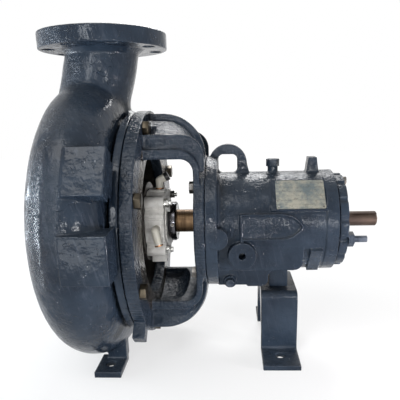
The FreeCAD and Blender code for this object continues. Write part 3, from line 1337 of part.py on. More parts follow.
def make_drive_collar():
    piece = new_piece("drive_collar")
    neck_front = S.gland_nose_x + S.collar_gap
    chamfer = S.collar_chamfer
    turn(piece, [
        (neck_front, S.sleeve_radius), (neck_front, S.collar_neck_radius),
        (S.collar_front, S.collar_neck_radius), (S.collar_front, S.collar_radius - chamfer),
        (S.collar_front + chamfer, S.collar_radius), (S.collar_back - chamfer, S.collar_radius),
        (S.collar_back, S.collar_radius - chamfer), (S.collar_back, S.sleeve_radius),
    ])
    hole = side_sketch(piece, S.collar_radius + overlap)
    circle(hole, collar_middle, 0, S.collar_screw_radius + S.fit_gap)
    drilled = cut(piece, hole, S.collar_radius - S.sleeve_radius + overlap)
    repeat(piece, [drilled], S.collar_screw_count)
    return piece


def make_collar_screws():
    piece = new_piece("collar_screws")
    screw = circle(side_sketch(piece, S.sleeve_radius), collar_middle, 0, S.collar_screw_radius)
    repeat(piece, [pad(piece, screw, S.collar_radius - S.sleeve_radius)], S.collar_screw_count)
    return piece


def make_inboard_oil_seal():
    piece = new_piece("inboard_oil_seal")
    turn(piece, tube(
        S.frame_joint_x - S.frame_spigot_long, S.frame_joint_x + S.isolator_long,
        S.shaft_radius + S.running_gap, S.isolator_radius,
    ))
    return piece


def race(piece, front, back, inner, outer, rows, ball):
    """A bearing ring with a round groove for each row of balls."""
    turn(piece, tube(front, back, inner, outer))
    for row in rows:
        groove_ring = piece.newObject("PartDesign::SubtractiveTorus", piece.Label + "_groove")
        groove_ring.AttachmentSupport = [(origin_part(piece, "YZ_Plane"), "")]
        groove_ring.MapMode = "FlatFace"
        tie(groove_ring, "AttachmentOffset.Base.z", row)
        tie(groove_ring, "Radius1", S.bearing_pitch_radius)
        tie(groove_ring, "Radius2", ball + S.race_gap)
    return piece


def make_ball_row(label, rows, ball):
    piece = new_piece(label)
    for row in rows:
        sphere = piece.newObject("PartDesign::AdditiveSphere", label + "_ball")
        sphere.AttachmentSupport = [(origin_part(piece, "YZ_Plane"), "")]
        sphere.MapMode = "FlatFace"
        tie(sphere, "AttachmentOffset.Base.x", S.bearing_pitch_radius)
        tie(sphere, "AttachmentOffset.Base.z", row)
        tie(sphere, "Radius", ball)
        repeat(piece, [sphere], S.ball_count)
    return piece


def make_bearings():
    radial_rows = [S.radial_bearing_x + S.radial_bearing_wide / 2]
    thrust_rows = [S.thrust_bearing_x + S.thrust_row_inset, thrust_bearing_back - S.thrust_row_inset]
    kinds = (
        ("radial_bearing", S.radial_bearing_x, radial_bearing_back, radial_rows, S.ball_radius),
        ("thrust_bearing", S.thrust_bearing_x, thrust_bearing_back, thrust_rows, S.thrust_ball_radius),
    )
    pieces = []
    for name, front, back, rows, ball in kinds:
        inner = new_piece(name + "_inner_ring")
        inner_top = S.bearing_bore_radius + S.race_wall
        pieces.append(race(inner, front, back, S.bearing_bore_radius, inner_top, rows, ball))
        outer = new_piece(name + "_outer_ring")
        outer_floor = S.bearing_radius - S.race_wall
        pieces.append(race(outer, front, back, outer_floor, S.bearing_radius, rows, ball))
        pieces.append(make_ball_row(name + "_balls", rows, ball))
    return pieces


def make_bearing_carrier():
    piece = new_piece("bearing_carrier")
    turn(piece, [
        (S.carrier_front, S.carrier_shoulder_radius), (S.carrier_front, S.carrier_radius),
        (carrier_flange_front, S.carrier_radius), (carrier_flange_front, S.carrier_flange_radius),
        (carrier_flange_back, S.carrier_flange_radius), (carrier_flange_back, S.carrier_nose_radius),
        (S.carrier_nose_x, S.carrier_nose_radius - S.carrier_nose_taper),
        (S.carrier_nose_x, S.outer_seal_radius),
        (S.carrier_cap_x, S.outer_seal_radius), (S.carrier_cap_x, S.end_cavity_radius),
        (snap_groove_back, S.end_cavity_radius), (snap_groove_back, S.bearing_radius),
        (S.thrust_bearing_x, S.bearing_radius), (S.thrust_bearing_x, S.carrier_shoulder_radius),
    ])
    notch = end_sketch(piece, carrier_flange_back)
    circle(notch, S.lobe_notch_circle, 0, S.lobe_notch_radius)
    repeat(piece, [cut(piece, notch, S.carrier_flange_thick)], S.lobe_count)
    groove(piece, tube(
        S.o_ring_x - S.o_ring_radius, S.o_ring_x + S.o_ring_radius,
        S.carrier_radius - 2 * S.o_ring_radius, S.carrier_radius + overlap,
    ))
    hole = end_sketch(piece, carrier_flange_back, S.lock_first_angle)
    circle(hole, S.lock_circle_radius, 0, S.lock_screw_radius + S.fit_gap)
    repeat(piece, [cut(piece, hole, S.carrier_flange_thick)], S.lock_count)
    return piece


def make_thrust_snap_ring():
    piece = new_piece("thrust_snap_ring")
    turn(piece, tube(
        thrust_bearing_back, thrust_bearing_back + S.snap_ring_thick,
        S.snap_ring_radius, S.bearing_radius,
    ))
    return piece


def make_carrier_o_ring():
    piece = new_piece("carrier_o_ring")
    middle_radius = S.carrier_radius - S.o_ring_radius
    ring = piece.newObject("PartDesign::AdditiveTorus", "carrier_o_ring_torus")
    ring.AttachmentSupport = [(origin_part(piece, "YZ_Plane"), "")]
    ring.MapMode = "FlatFace"
    tie(ring, "AttachmentOffset.Base.z", S.o_ring_x)
    tie(ring, "Radius1", middle_radius)
    tie(ring, "Radius2", S.o_ring_radius)
    return piece


def make_outboard_oil_seal():
    piece = new_piece("outboard_oil_seal")
    turn(piece, tube(
        S.carrier_cap_x, S.carrier_nose_x + S.outer_seal_lip,
        S.shaft_seal_radius + S.running_gap, S.outer_seal_radius,
    ))
    return piece


def make_carrier_set_screws():
    piece = new_piece("carrier_set_screws")
    for step in (0, 2, 3):
        angle = S.lock_first_angle + 360 * step / S.lock_count
        shank = end_sketch(piece, carrier_flange_front, angle)
        circle(shank, S.lock_circle_radius, 0, S.lock_screw_radius)
        pad(piece, shank, S.carrier_flange_thick)
        head = end_sketch(piece, carrier_flange_back, angle)
        hexagon(head, S.lock_circle_radius, 0, S.lock_head_across)
        pad(piece, head, S.lock_head_tall)
    return piece


def make_carrier_stud():
    piece = new_piece("carrier_stud")
    shank = end_sketch(piece, carrier_flange_front, stud_angle)
    circle(shank, S.lock_circle_radius, 0, S.lock_screw_radius)
    pad(piece, shank, S.carrier_flange_thick)
    stud = end_sketch(piece, carrier_flange_back, stud_angle)
    circle(stud, S.lock_circle_radius, 0, S.lock_stud_radius)
    pad(piece, stud, S.lock_stud_end - carrier_flange_back)
    return piece


def make_carrier_stud_nut():
    piece = new_piece("carrier_stud_nut")
    nut = end_sketch(piece, carrier_flange_back, stud_angle)
    hexagon(nut, S.lock_circle_radius, 0, S.lock_nut_across)
    circle(nut, S.lock_circle_radius, 0, S.lock_stud_radius + S.fit_gap)
    pad(piece, nut, S.lock_nut_tall)
    return piece


def make_shaft():
    piece = new_piece("shaft")
    nut_back = thrust_bearing_back + S.washer_thick + S.locknut_thick
    turn(piece, [
        (thread_start, 0), (thread_start, S.impeller_thread_radius),
        (S.impeller_seat_x, S.impeller_thread_radius), (S.impeller_seat_x, S.shaft_radius),
        (S.radial_bearing_x, S.shaft_radius), (S.radial_bearing_x, S.bearing_bore_radius),
        (radial_bearing_back, S.bearing_bore_radius), (radial_bearing_back, S.shaft_middle_radius),
        (S.thrust_bearing_x, S.shaft_middle_radius), (S.thrust_bearing_x, S.bearing_bore_radius),
        (nut_back, S.bearing_bore_radius), (nut_back, S.shaft_seal_radius),
        (S.coupling_start, S.shaft_seal_radius), (S.coupling_start, S.coupling_radius),
        (S.shaft_reach - S.coupling_chamfer, S.coupling_radius),
        (S.shaft_reach, S.coupling_radius - S.coupling_chamfer), (S.shaft_reach, 0),
    ])
    slot = side_sketch(piece, S.coupling_radius + overlap, S.key_tilt)
    rectangle(slot, S.key_left, -S.key_half, S.shaft_reach + overlap, S.key_half)
    cut(piece, slot, S.key_depth + overlap)
    return piece


def make_impeller():
    piece = new_piece("impeller")
    nose_round = S.impeller_nose_round
    turn(piece, [
        (S.impeller_nose_x, 0), (S.impeller_nose_x, S.impeller_hub_radius - nose_round, -nose_round),
        (S.impeller_nose_x + nose_round, S.impeller_hub_radius),
        (S.shroud_front, S.impeller_hub_radius + S.impeller_hub_flare),
        (S.shroud_front, S.impeller_radius), (S.shroud_back, S.impeller_radius),
        (S.shroud_back, S.impeller_hub_radius), (impeller_hub_back, S.impeller_hub_radius),
        (impeller_hub_back, 0),
    ])
    root_angle = 180 / math.pi * S.vane_thick / S.vane_inner_radius
    tip_angle = 180 / math.pi * S.vane_thick / S.impeller_radius
    vane = end_sketch(piece, S.shroud_front + overlap)
    root_lead = polar(S.vane_inner_radius, as_size(0))
    tip_lead = polar(S.impeller_radius, S.vane_wrap)
    tip_trail = polar(S.impeller_radius, S.vane_wrap + tip_angle)
    root_trail = polar(S.vane_inner_radius, root_angle)
    outline(vane, [
        root_lead + (S.vane_curve,), tip_lead, tip_trail + (-S.vane_curve,), root_trail,
    ])
    vane_pad = pad(piece, vane, S.shroud_front + overlap - S.front_wall_x)
    vane_pad.Reversed = True
    repeat(piece, [vane_pad], S.vane_count)
    trim_start = S.front_wall_x - overlap
    trim_floor = S.vane_inner_radius - overlap
    tip_x = S.front_wall_tip_x + S.impeller_clearance
    eye_x = S.front_wall_x + S.impeller_clearance
    groove(piece, [
        (trim_start, trim_floor), (trim_start, S.register_radius), (tip_x, S.register_radius),
        (eye_x, S.suction_bore_radius), (eye_x, trim_floor),
    ])
    thread_wall = S.impeller_thread_radius + S.fit_gap
    groove(piece, [
        (thread_start, 0), (thread_start, thread_wall), (S.impeller_seat_x, thread_wall),
        (S.impeller_seat_x, o_ring_seat_radius), (impeller_hub_back + overlap, o_ring_seat_radius),
        (impeller_hub_back + overlap, 0),
    ])
    return piece


def make_locknut():
    piece = new_piece("bearing_locknut")
    front = thrust_bearing_back + S.washer_thick
    turn(piece, tube(front, front + S.locknut_thick, S.bearing_bore_radius + S.fit_gap, S.locknut_radius))
    slot = end_sketch(piece, front + S.locknut_thick)
    rectangle(
        slot, S.locknut_radius - S.locknut_slot_deep, -S.locknut_slot_half,
        S.locknut_radius + overlap, S.locknut_slot_half,
    )
    repeat(piece, [cut(piece, slot, S.locknut_thick)], S.locknut_slot_count)
    return piece


def make_lock_washer():
    piece = new_piece("lock_washer")
    turn(piece, tube(
        thrust_bearing_back, thrust_bearing_back + S.washer_thick,
        S.bearing_bore_radius + S.fit_gap, S.locknut_radius,
    ))
    return piece


def make_impeller_o_ring():
    piece = new_piece("impeller_o_ring")
    ring = piece.newObject("PartDesign::AdditiveTorus", "impeller_o_ring_torus")
    ring.AttachmentSupport = [(origin_part(piece, "YZ_Plane"), "")]
    ring.MapMode = "FlatFace"
    tie(ring, "AttachmentOffset.Base.z", S.impeller_seat_x + S.hub_ring_radius + S.fit_gap)
    tie(ring, "Radius1", (S.shaft_radius + o_ring_seat_radius) / 2)
    tie(ring, "Radius2", S.hub_ring_radius)
    return piece


parts = [
    make_casing(), make_casing_gasket(), make_rear_cover(), make_adapter(), make_casing_screws(),
    make_frame_bolts(), make_bearing_housing(), make_nameplate(), make_nameplate_pins(),
    make_filler_plug(), make_drain_plug(), make_rear_foot(), make_foot_screws(), make_seal_gland(),
    make_gland_gasket(), make_gland_studs(), make_gland_nuts(), make_setting_clips(), make_seal_seat(),
    make_seal_face(), make_seal_sleeve(), make_drive_collar(), make_collar_screws(),
    make_inboard_oil_seal(), make_bearing_carrier(), make_thrust_snap_ring(), make_carrier_o_ring(),
    make_outboard_oil_seal(), make_carrier_set_screws(), make_carrier_stud(), make_carrier_stud_nut(),
    make_shaft(), make_impeller(), make_locknut(), make_lock_washer(),
    make_impeller_o_ring(),
]
parts += make_bearings()
parts += make_elbow(
    "upper_flush_elbow", S.upper_port_tilt, S.upper_elbow_run, (0.9, -0.1, 0.45),
    "upper_elbow_ring", "upper_elbow_cap",
)
parts += make_elbow(
    "lower_flush_elbow", S.lower_port_tilt, S.lower_elbow_run, (0.24, 1.0, 0.1), "lower_elbow_ring",
)

doc.recompute()

faults = [item.Label for item in doc.Objects if "Invalid" in item.State or "Error" in item.State]
for part in parts:
    if part.Shape.isNull() or not part.Shape.isValid() or not part.Shape.Solids:
        faults.append(part.Label + " has no sound shape")
if faults:
    raise RuntimeError("failed: " + ", ".join(faults))

os.makedirs("parts", exist_ok=True)
for part in parts:
    part.Shape.exportStep("parts/%s.step" % part.Label)
print("%d parts written" % len(parts))
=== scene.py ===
import json
import math

import bmesh
import bpy
from mathutils import Matrix, Vector, noise


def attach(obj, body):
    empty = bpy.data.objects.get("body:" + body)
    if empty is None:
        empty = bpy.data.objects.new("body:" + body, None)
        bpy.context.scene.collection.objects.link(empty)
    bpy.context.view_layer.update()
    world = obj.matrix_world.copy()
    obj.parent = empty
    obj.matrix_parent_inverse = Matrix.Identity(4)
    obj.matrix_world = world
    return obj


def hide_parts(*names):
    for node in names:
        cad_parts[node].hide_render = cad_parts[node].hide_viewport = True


# A centrifugal process pump: volute casing, adapter, cartridge seal, bearing housing and feet.
# Metres, in the frame of the solids: x along the shaft, z up, the near side at -y.

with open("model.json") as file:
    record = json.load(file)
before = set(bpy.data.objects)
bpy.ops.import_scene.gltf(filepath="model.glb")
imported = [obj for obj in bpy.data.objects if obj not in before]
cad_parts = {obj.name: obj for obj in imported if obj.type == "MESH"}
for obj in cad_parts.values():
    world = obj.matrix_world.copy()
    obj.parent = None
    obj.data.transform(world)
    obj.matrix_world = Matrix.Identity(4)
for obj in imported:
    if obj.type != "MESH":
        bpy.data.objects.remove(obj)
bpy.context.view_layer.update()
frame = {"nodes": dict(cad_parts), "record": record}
nodes = frame["nodes"]
slot_of = {part["node"]: part["material_slot"] for part in frame["record"]["subparts"]}
body_of = {
    node: body for body, names in frame["record"]["behaviour"]["bodies"].items() for node in names
}

MM = 0.001
AXIS_HEIGHT = 0.254
scene = bpy.context.scene


# Meshes

def link(thing):
    """Puts a piece, lamp or camera into the scene."""
    scene.collection.objects.link(thing)
    return thing


def edit_mesh(mesh, change):
    """Opens the mesh for a change to its vertices and faces, and closes it again."""
    solid = bmesh.new()
    solid.from_mesh(mesh)
    change(solid)
    solid.to_mesh(mesh)
    solid.free()


def weld(solid):
    bmesh.ops.remove_doubles(solid, verts=solid.verts, dist=0.01 * MM)


def merge_flat_faces(solid):
    bmesh.ops.dissolve_limit(
        solid, angle_limit=math.radians(0.6), verts=solid.verts, edges=solid.edges,
        delimit={"NORMAL"},
    )


def finished_mesh(piece):
    """The piece's mesh with its modifiers worked in."""
    bpy.context.view_layer.update()
    shape = piece.evaluated_get(bpy.context.evaluated_depsgraph_get())
    mesh = bpy.data.meshes.new_from_object(shape)
    piece.modifiers.clear()
    piece.data = mesh
    return mesh


def welded_copy(name, node):
    """The node's own shape as a new piece, with one vertex per corner."""
    mesh = nodes[node].data.copy()
    edit_mesh(mesh, weld)
    mesh.materials.clear()
    return link(bpy.data.objects.new(name, mesh))


def dress(piece, node, material):
    """The piece takes the node's place and body, and gets its finish."""
    piece.data.materials.clear()
    piece.data.materials.append(material)
    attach(piece, body_of[node])
    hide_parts(node)


def smooth(piece, passes, group=""):
    """Evens out the piece, or only the share of it that is in a vertex group."""
    evened = piece.modifiers.new("smooth", "SMOOTH")
    evened.factor = 0.5
    evened.iterations = passes
    evened.vertex_group = group


def smooth_where(piece, share_at, passes):
    """Evens out the piece by the share, from 0 to 1, that share_at gives for each place."""
    group = piece.vertex_groups.new(name="worked")
    for vertex in piece.data.vertices:
        share = share_at(vertex.co)
        if share > 0.0:
            group.add([vertex.index], share, "REPLACE")
    smooth(piece, passes, group.name)


def push_out(mesh, reach, share_at):
    """Moves each vertex along its normal by a share of the reach, inwards where that is below 0."""
    normals = [vertex.normal.copy() for vertex in mesh.vertices]
    for vertex, normal in zip(mesh.vertices, normals):
        vertex.co += normal * reach * share_at(vertex.co)


# Faces on the near side, tilted about the shaft's axis

def seen_from_side(point, tilt):
    """A point's place on such a face: along x, up the face, and out from the axis."""
    rise = point.z - AXIS_HEIGHT
    up = point.y * math.sin(tilt) + rise * math.cos(tilt)
    out = -point.y * math.cos(tilt) + rise * math.sin(tilt)
    return point.x, up, out


def point_on_side(x, up, out, tilt):
    """The point at such a place."""
    return Vector((
        x,
        up * math.sin(tilt) - out * math.cos(tilt),
        AXIS_HEIGHT + up * math.cos(tilt) + out * math.sin(tilt),
    ))


def add_side_block(solid, tilt, left, right, low, high, root, face):
    """A closed block that stands out from the near side, from its root to its face."""
    outline = ((left, low), (right, low), (right, high), (left, high))
    corners = [
        solid.verts.new(point_on_side(x, up, out, tilt))
        for out in (root, face) for x, up in outline
    ]
    rounds = [(0, 1, 2, 3), (4, 5, 6, 7)]
    rounds += [(i, (i + 1) % 4, (i + 1) % 4 + 4, i + 4) for i in range(4)]
    sides = [solid.faces.new([corners[i] for i in turn]) for turn in rounds]
    bmesh.ops.recalc_face_normals(solid, faces=sides)


def enlarge_upper_pad(solid):
    """The casing's upper pad in the photo is taller than the solid's."""
    add_side_block(
        solid, tilt=math.radians(30), left=-13.5 * MM, right=49.5 * MM, low=-41 * MM, high=36 * MM,
        root=238 * MM, face=266.3 * MM,
    )


def raise_badge_bead(solid):
    """The bead round the bare badge stands a little prouder, so that the paint doesn't drown it."""
    tilt = math.radians(5.3)
    bead_face, tolerance, lift = 98 * MM, 0.05 * MM, 1.6 * MM
    badge_start, badge_end = 200 * MM, 360 * MM
    for vertex in solid.verts:
        x, up, out = seen_from_side(vertex.co, tilt)
        if abs(out - bead_face) < tolerance and badge_start < x < badge_end:
            vertex.co = point_on_side(x, up, out + lift, tilt)


# Casting skins and machined edges

def neck_share(place):
    """1 round the foot of the discharge neck, with soft borders below, above and at the adapter."""
    height = place.z - AXIS_HEIGHT
    from_below = (height - 196 * MM) / (25 * MM)
    from_above = (308 * MM - height) / (20 * MM)
    from_adapter = (72 * MM - place.x) / (15 * MM)
    return max(0.0, min(1.0, from_below, from_above, from_adapter))


def blend_neck(piece):
    """Works the volute's shoulder into the discharge neck with a wide hollow curve.
    The neck is grown first by what the smoothing takes off."""
    smooth_where(piece, neck_share, passes=190)
    push_out(piece.data, 1.3 * MM, neck_share)


def lip_share(place):
    """1 on the lips of the adapter's windows and on its ears, with a soft border inwards."""
    if 80 * MM < place.x < 182 * MM:
        return max(0.0, min(1.0, (abs(place.y) - 92 * MM) / (2 * MM)))
    return 0.0


def round_lips(piece):
    """The windows' lips and the ring's ears are well rounded castings, not square bars."""
    smooth_where(piece, lip_share, passes=22)


def unevenness(place, lump_size):
    """How far the skin lies in at a place, from 0 to 1: broad lumps with finer ones on them."""
    fall_off, step = 0.7, 2.0
    broad = noise.fractal(place / lump_size, fall_off, step, 3)
    fine = noise.fractal(place / (lump_size / 5), fall_off, step, 2)
    wave = 0.7 * broad + 0.3 * fine
    return 0.5 + 0.5 * max(-1.0, min(1.0, wave))


def cast_skin(
    node, material, *, voxel, rounding, lump_size, lump_depth, keep, reshape=None, rework=None,
):
    """A casting's skin: edges rounded by the mould and the paint, and faces slightly uneven.
    reshape changes the solid first, rework changes the rounded skin, and keep is the share of
    its faces that stays."""
    piece = welded_copy(node + "_skin", node)
    if reshape:
        edit_mesh(piece.data, reshape)
    remesh = piece.modifiers.new("voxels", "REMESH")
    remesh.mode = "VOXEL"
    remesh.voxel_size = voxel
    smooth(piece, rounding)
    if rework:
        finished_mesh(piece)
        rework(piece)
    thin = piece.modifiers.new("thin", "DECIMATE")
    thin.ratio = keep
    mesh = finished_mesh(piece)
    push_out(mesh, -lump_depth, lambda place: unevenness(place, lump_size))
    mesh.shade_smooth()
    dress(piece, node, material)


def broken_edges(node, material, width):
    """A machined piece with its sharp edges taken off."""
    piece = welded_copy(node + "_piece", node)
    edit_mesh(piece.data, merge_flat_faces)
    bevel = piece.modifiers.new("edge", "BEVEL")
    bevel.width = width
    bevel.segments = 2
    bevel.limit_method = "ANGLE"
    bevel.angle_limit = math.radians(32)
    bevel.use_clamp_overlap = True
    bevel.harden_normals = True
    piece.data.shade_smooth()
    finished_mesh(piece)
    dress(piece, node, material)


# Shader wiring

def plug(tree, made, sockets):
    """Gives each socket of a node its value, or joins it to another node's socket."""
    for key, value in sockets.items():
        if isinstance(value, bpy.types.NodeSocket):
            tree.links.new(value, made.inputs[key])
        else:
            made.inputs[key].default_value = value


def add_node(tree, kind, sockets=None, **settings):
    """A node with its settings and its sockets filled."""
    made = tree.nodes.new("ShaderNode" + kind)
    for key, value in settings.items():
        setattr(made, key, value)
    plug(tree, made, sockets or {})
    return made


def calculate(tree, operation, *values):
    """One operation on a single value, or on several, one after another."""
    result = values[0]
    for value in values[1:] or (0.0,):
        result = add_node(tree, "Math", {0: result, 1: value}, operation=operation).outputs[0]
    return result


def distance_between(tree, first, second):
    return calculate(tree, "ABSOLUTE", calculate(tree, "SUBTRACT", first, second))


def spread(tree, value, low, high, to_low=0.0, to_high=1.0):
    """Stretches the values between low and high over a new range, and clamps the rest."""
    ranged = add_node(tree, "MapRange", {
        "Value": value, "From Min": low, "From Max": high, "To Min": to_low, "To Max": to_high,
    })
    return ranged.outputs["Result"]


def rgba(red, green, blue):
    return (red, green, blue, 1.0)


def blend_colours(tree, amount, first, second):
    sockets = {0: amount, 6: first, 7: second}
    return add_node(tree, "Mix", sockets, data_type="RGBA").outputs[2]


def lay_over(tree, colour, mask, share, tint):
    """Lays a tint over the colour where the mask is, at a share of its strength."""
    return blend_colours(tree, calculate(tree, "MULTIPLY", mask, share), colour, tint)


def object_place(tree):
    return add_node(tree, "TexCoord").outputs["Object"]


def parts_of(tree, vector):
    """The X, Y and Z of a vector."""
    return add_node(tree, "SeparateXYZ", {"Vector": vector}).outputs


def facing(tree):
    """The X, Y and Z of the way that the surface faces."""
    return parts_of(tree, add_node(tree, "NewGeometry").outputs["Normal"])


def vector_of(tree, **parts):
    return add_node(tree, "CombineXYZ", parts).outputs["Vector"]


def noise_value(tree, place, scale, detail=2.0, roughness=0.5, distortion=0.0):
    return add_node(tree, "TexNoise", {
        "Vector": place, "Scale": scale, "Detail": detail, "Roughness": roughness,
        "Distortion": distortion,
    }).outputs["Fac"]


def bump(tree, surface, height, distance, strength=1.0):
    raised = add_node(tree, "Bump", {"Height": height, "Distance": distance, "Strength": strength})
    plug(tree, surface, {"Normal": raised.outputs["Normal"]})


# Effects that several finishes share

def new_group(name, inputs, outputs):
    """An effect with named inputs and their usual values, and named outputs."""
    tree = bpy.data.node_groups.new(name, "ShaderNodeTree")
    for label, value in inputs.items():
        socket = tree.interface.new_socket(
            name=label, in_out="INPUT", socket_type="NodeSocketFloat",
        )
        socket.default_value = value
    for label in outputs:
        tree.interface.new_socket(name=label, in_out="OUTPUT", socket_type="NodeSocketFloat")
    given = tree.nodes.new("NodeGroupInput").outputs
    result = tree.nodes.new("NodeGroupOutput")
    return tree, given, result


def use(tree, group, values=None):
    """Places an effect in a material with the material's own values."""
    made = tree.nodes.new("ShaderNodeGroup")
    made.node_tree = group
    plug(tree, made, values or {})
    return made.outputs


def make_cast_grain():
    """Sand-cast skin under paint: broad lumps, fine pits and a slow change of tone.
    The paint's wrinkles lie in patches, on the suction side's flank alone where Flank Only
    is 1, and on faces that look up. Its ridges are long folds with gaps."""
    tree, given, result = new_group(
        "cast_grain",
        {"Lump Scale": 70.0, "Pit Scale": 380.0, "Pit Share": 0.2, "Wrinkle Scale": 190.0,
         "Wrinkle Share": 0.0, "Upward Share": 0.0, "Ridge Share": 0.1, "Flank Only": 0.0},
        ("Height", "Tone"),
    )
    place = object_place(tree)
    lumps = noise_value(tree, place, given["Lump Scale"], detail=3.0)
    pits = noise_value(tree, place, given["Pit Scale"])
    casting = calculate(tree, "ADD", lumps, calculate(tree, "MULTIPLY", pits, given["Pit Share"]))

    folds = noise_value(tree, place, given["Wrinkle Scale"], detail=3.0, distortion=1.4)
    crease = distance_between(tree, folds, 0.5)
    beyond_flank = spread(tree, parts_of(tree, place)["X"], -45 * MM, -15 * MM)
    barred = calculate(tree, "MULTIPLY", beyond_flank, given["Flank Only"])
    allowed = calculate(tree, "SUBTRACT", 1.0, barred)
    patches = spread(tree, noise_value(tree, place, 13.0), 0.40, 0.56)
    patches = calculate(tree, "MULTIPLY", patches, allowed, given["Wrinkle Share"])
    level = spread(tree, facing(tree)["Z"], 0.55, 0.85)
    upward = calculate(tree, "MULTIPLY", level, given["Upward Share"])
    where = calculate(tree, "ADD", patches, upward)
    wrinkles = calculate(tree, "MULTIPLY", crease, where)

    long_fold = distance_between(tree, noise_value(tree, place, 62.0, detail=2.5), 0.5)
    line = spread(tree, long_fold, 0.014, 0.0)
    gaps = spread(tree, noise_value(tree, place, 48.0), 0.5, 0.6)
    ridges = calculate(tree, "MULTIPLY", line, gaps, given["Ridge Share"])

    paint = calculate(tree, "ADD", wrinkles, ridges)
    tone = noise_value(tree, place, 9.0, detail=4.0, roughness=0.6)
    plug(tree, result, {"Height": calculate(tree, "ADD", casting, paint), "Tone": tone})
    return tree


def make_hammered():
    """Thick dimpled paint on faces that look up, lie in front of one plane or above one height."""
    tree, given, result = new_group(
        "hammered", {"Scale": 190.0, "Front": -1.0, "Top": 1.0, "Upward Share": 1.0}, ("Height",),
    )
    whole = object_place(tree)
    place = parts_of(tree, whole)
    in_front = calculate(tree, "LESS_THAN", place["Y"], given["Front"])
    above = calculate(tree, "GREATER_THAN", place["Z"], given["Top"])
    level = spread(tree, facing(tree)["Z"], 0.5, 0.8)
    upward = calculate(tree, "MULTIPLY", level, given["Upward Share"])
    mask = calculate(tree, "MAXIMUM", in_front, above, upward)
    patches = spread(tree, noise_value(tree, whole, 50.0), 0.36, 0.56, 0.35, 1.0)
    mask = calculate(tree, "MULTIPLY", mask, patches)
    dimples = noise_value(tree, whole, given["Scale"], detail=1.0, roughness=0.4)
    plug(tree, result, {"Height": calculate(tree, "MULTIPLY", dimples, mask)})
    return tree


def make_brush_marks():
    """Paint pulled out by a stiff brush: long thin ridges, mostly upright."""
    tree, given, result = new_group(
        "brush_marks", {"Scale": 160.0, "Stretch": 9.0, "Lean": 0.25}, ("Height", "Streaks"),
    )
    place = parts_of(tree, object_place(tree))
    leaning = calculate(tree, "MULTIPLY", place["Z"], given["Lean"])
    drawn = vector_of(
        tree,
        X=calculate(tree, "ADD", place["X"], leaning),
        Y=place["Y"],
        Z=calculate(tree, "DIVIDE", place["Z"], given["Stretch"]),
    )
    ridges = noise_value(tree, drawn, given["Scale"], detail=3.0, roughness=0.55)
    plug(tree, result, {"Height": ridges, "Streaks": spread(tree, ridges, 0.56, 0.72)})
    return tree


def make_round_marks():
    """Strokes across a rim that runs round the shaft's axis: fine lines along x."""
    tree, given, result = new_group(
        "round_marks", {"Count": 420.0, "Stretch": 30.0}, ("Height", "Streaks"),
    )
    place = parts_of(tree, object_place(tree))
    rise = calculate(tree, "SUBTRACT", place["Z"], AXIS_HEIGHT)
    angle = calculate(tree, "ARCTAN2", rise, place["Y"])
    lines_per_radian = calculate(tree, "DIVIDE", given["Count"], 2 * math.pi)
    drawn = vector_of(
        tree,
        X=calculate(tree, "MULTIPLY", place["X"], given["Stretch"]),
        Y=calculate(tree, "MULTIPLY", angle, lines_per_radian),
    )
    lines = noise_value(tree, drawn, 1.0)
    plug(tree, result, {"Height": lines, "Streaks": spread(tree, lines, 0.55, 0.75)})
    return tree


def make_bare_face():
    """A machined face square to the shaft, worn bare: near one station and inside a radius."""
    tree, given, result = new_group(
        "bare_face", {"Station": 0.0, "Depth": 3 * MM, "Radius": 100 * MM, "Edge": 10 * MM},
        ("Mask",),
    )
    place = parts_of(tree, object_place(tree))
    rise = calculate(tree, "SUBTRACT", place["Z"], AXIS_HEIGHT)
    rise_squared = calculate(tree, "POWER", rise, 2.0)
    side_squared = calculate(tree, "POWER", place["Y"], 2.0)
    radius = calculate(tree, "SQRT", calculate(tree, "ADD", rise_squared, side_squared))
    off_station = distance_between(tree, place["X"], given["Station"])
    near = calculate(tree, "LESS_THAN", off_station, given["Depth"])
    full_radius = calculate(tree, "SUBTRACT", given["Radius"], given["Edge"])
    inside = spread(tree, radius, given["Radius"], full_radius)
    square = spread(tree, calculate(tree, "ABSOLUTE", facing(tree)["X"]), 0.6, 0.9)
    plug(tree, result, {"Mask": calculate(tree, "MULTIPLY", near, inside, square)})
    return tree


def make_worn_edges_and_hollow_shade():
    """Outer edges in patches, for rubbed wear that the enamel also lightens as a painted edge
    highlight, and the hollows, for painted shade.
    """
    tree, given, result = new_group(
        "worn_edges_and_hollow_shade", {"Start": 0.53, "Full": 0.62, "Patch Scale": 60.0}, ("Mask", "Hollow"),
    )
    curve = add_node(tree, "NewGeometry").outputs["Pointiness"]
    edge = spread(tree, curve, given["Start"], given["Full"])
    cloud = noise_value(
        tree, object_place(tree), given["Patch Scale"], detail=5.0, roughness=0.65,
    )
    patches = spread(tree, cloud, 0.42, 0.6)
    plug(tree, result, {
        "Mask": calculate(tree, "MULTIPLY", edge, patches),
        # Hollow: where the surface curves inwards, the mask for painted shade
        "Hollow": spread(tree, curve, 0.49, 0.42),
    })
    return tree


def make_settled_dust():
    """Fine dust where a face looks up."""
    tree, given, result = new_group("settled_dust", {"Scale": 35.0, "Flatness": 0.5}, ("Mask",))
    level = spread(tree, facing(tree)["Z"], given["Flatness"], 1.0)
    cloud = noise_value(tree, object_place(tree), given["Scale"], detail=6.0, roughness=0.7)
    patches = spread(tree, cloud, 0.35, 0.7)
    plug(tree, result, {"Mask": calculate(tree, "MULTIPLY", level, patches)})
    return tree


def make_flecks():
    """Small scattered specks, such as chips and dried drops."""
    tree, given, result = new_group(
        "flecks", {"Scale": 240.0, "Size": 0.16, "Share": 0.5}, ("Mask",),
    )
    place = object_place(tree)
    cells = add_node(tree, "TexVoronoi", {
        "Vector": place, "Scale": given["Scale"], "Randomness": 1.0,
    })
    spots = calculate(tree, "LESS_THAN", cells.outputs["Distance"], given["Size"])
    where = spread(tree, noise_value(tree, place, 24.0, detail=3.0), given["Share"], 0.66)
    plug(tree, result, {"Mask": calculate(tree, "MULTIPLY", spots, where)})
    return tree


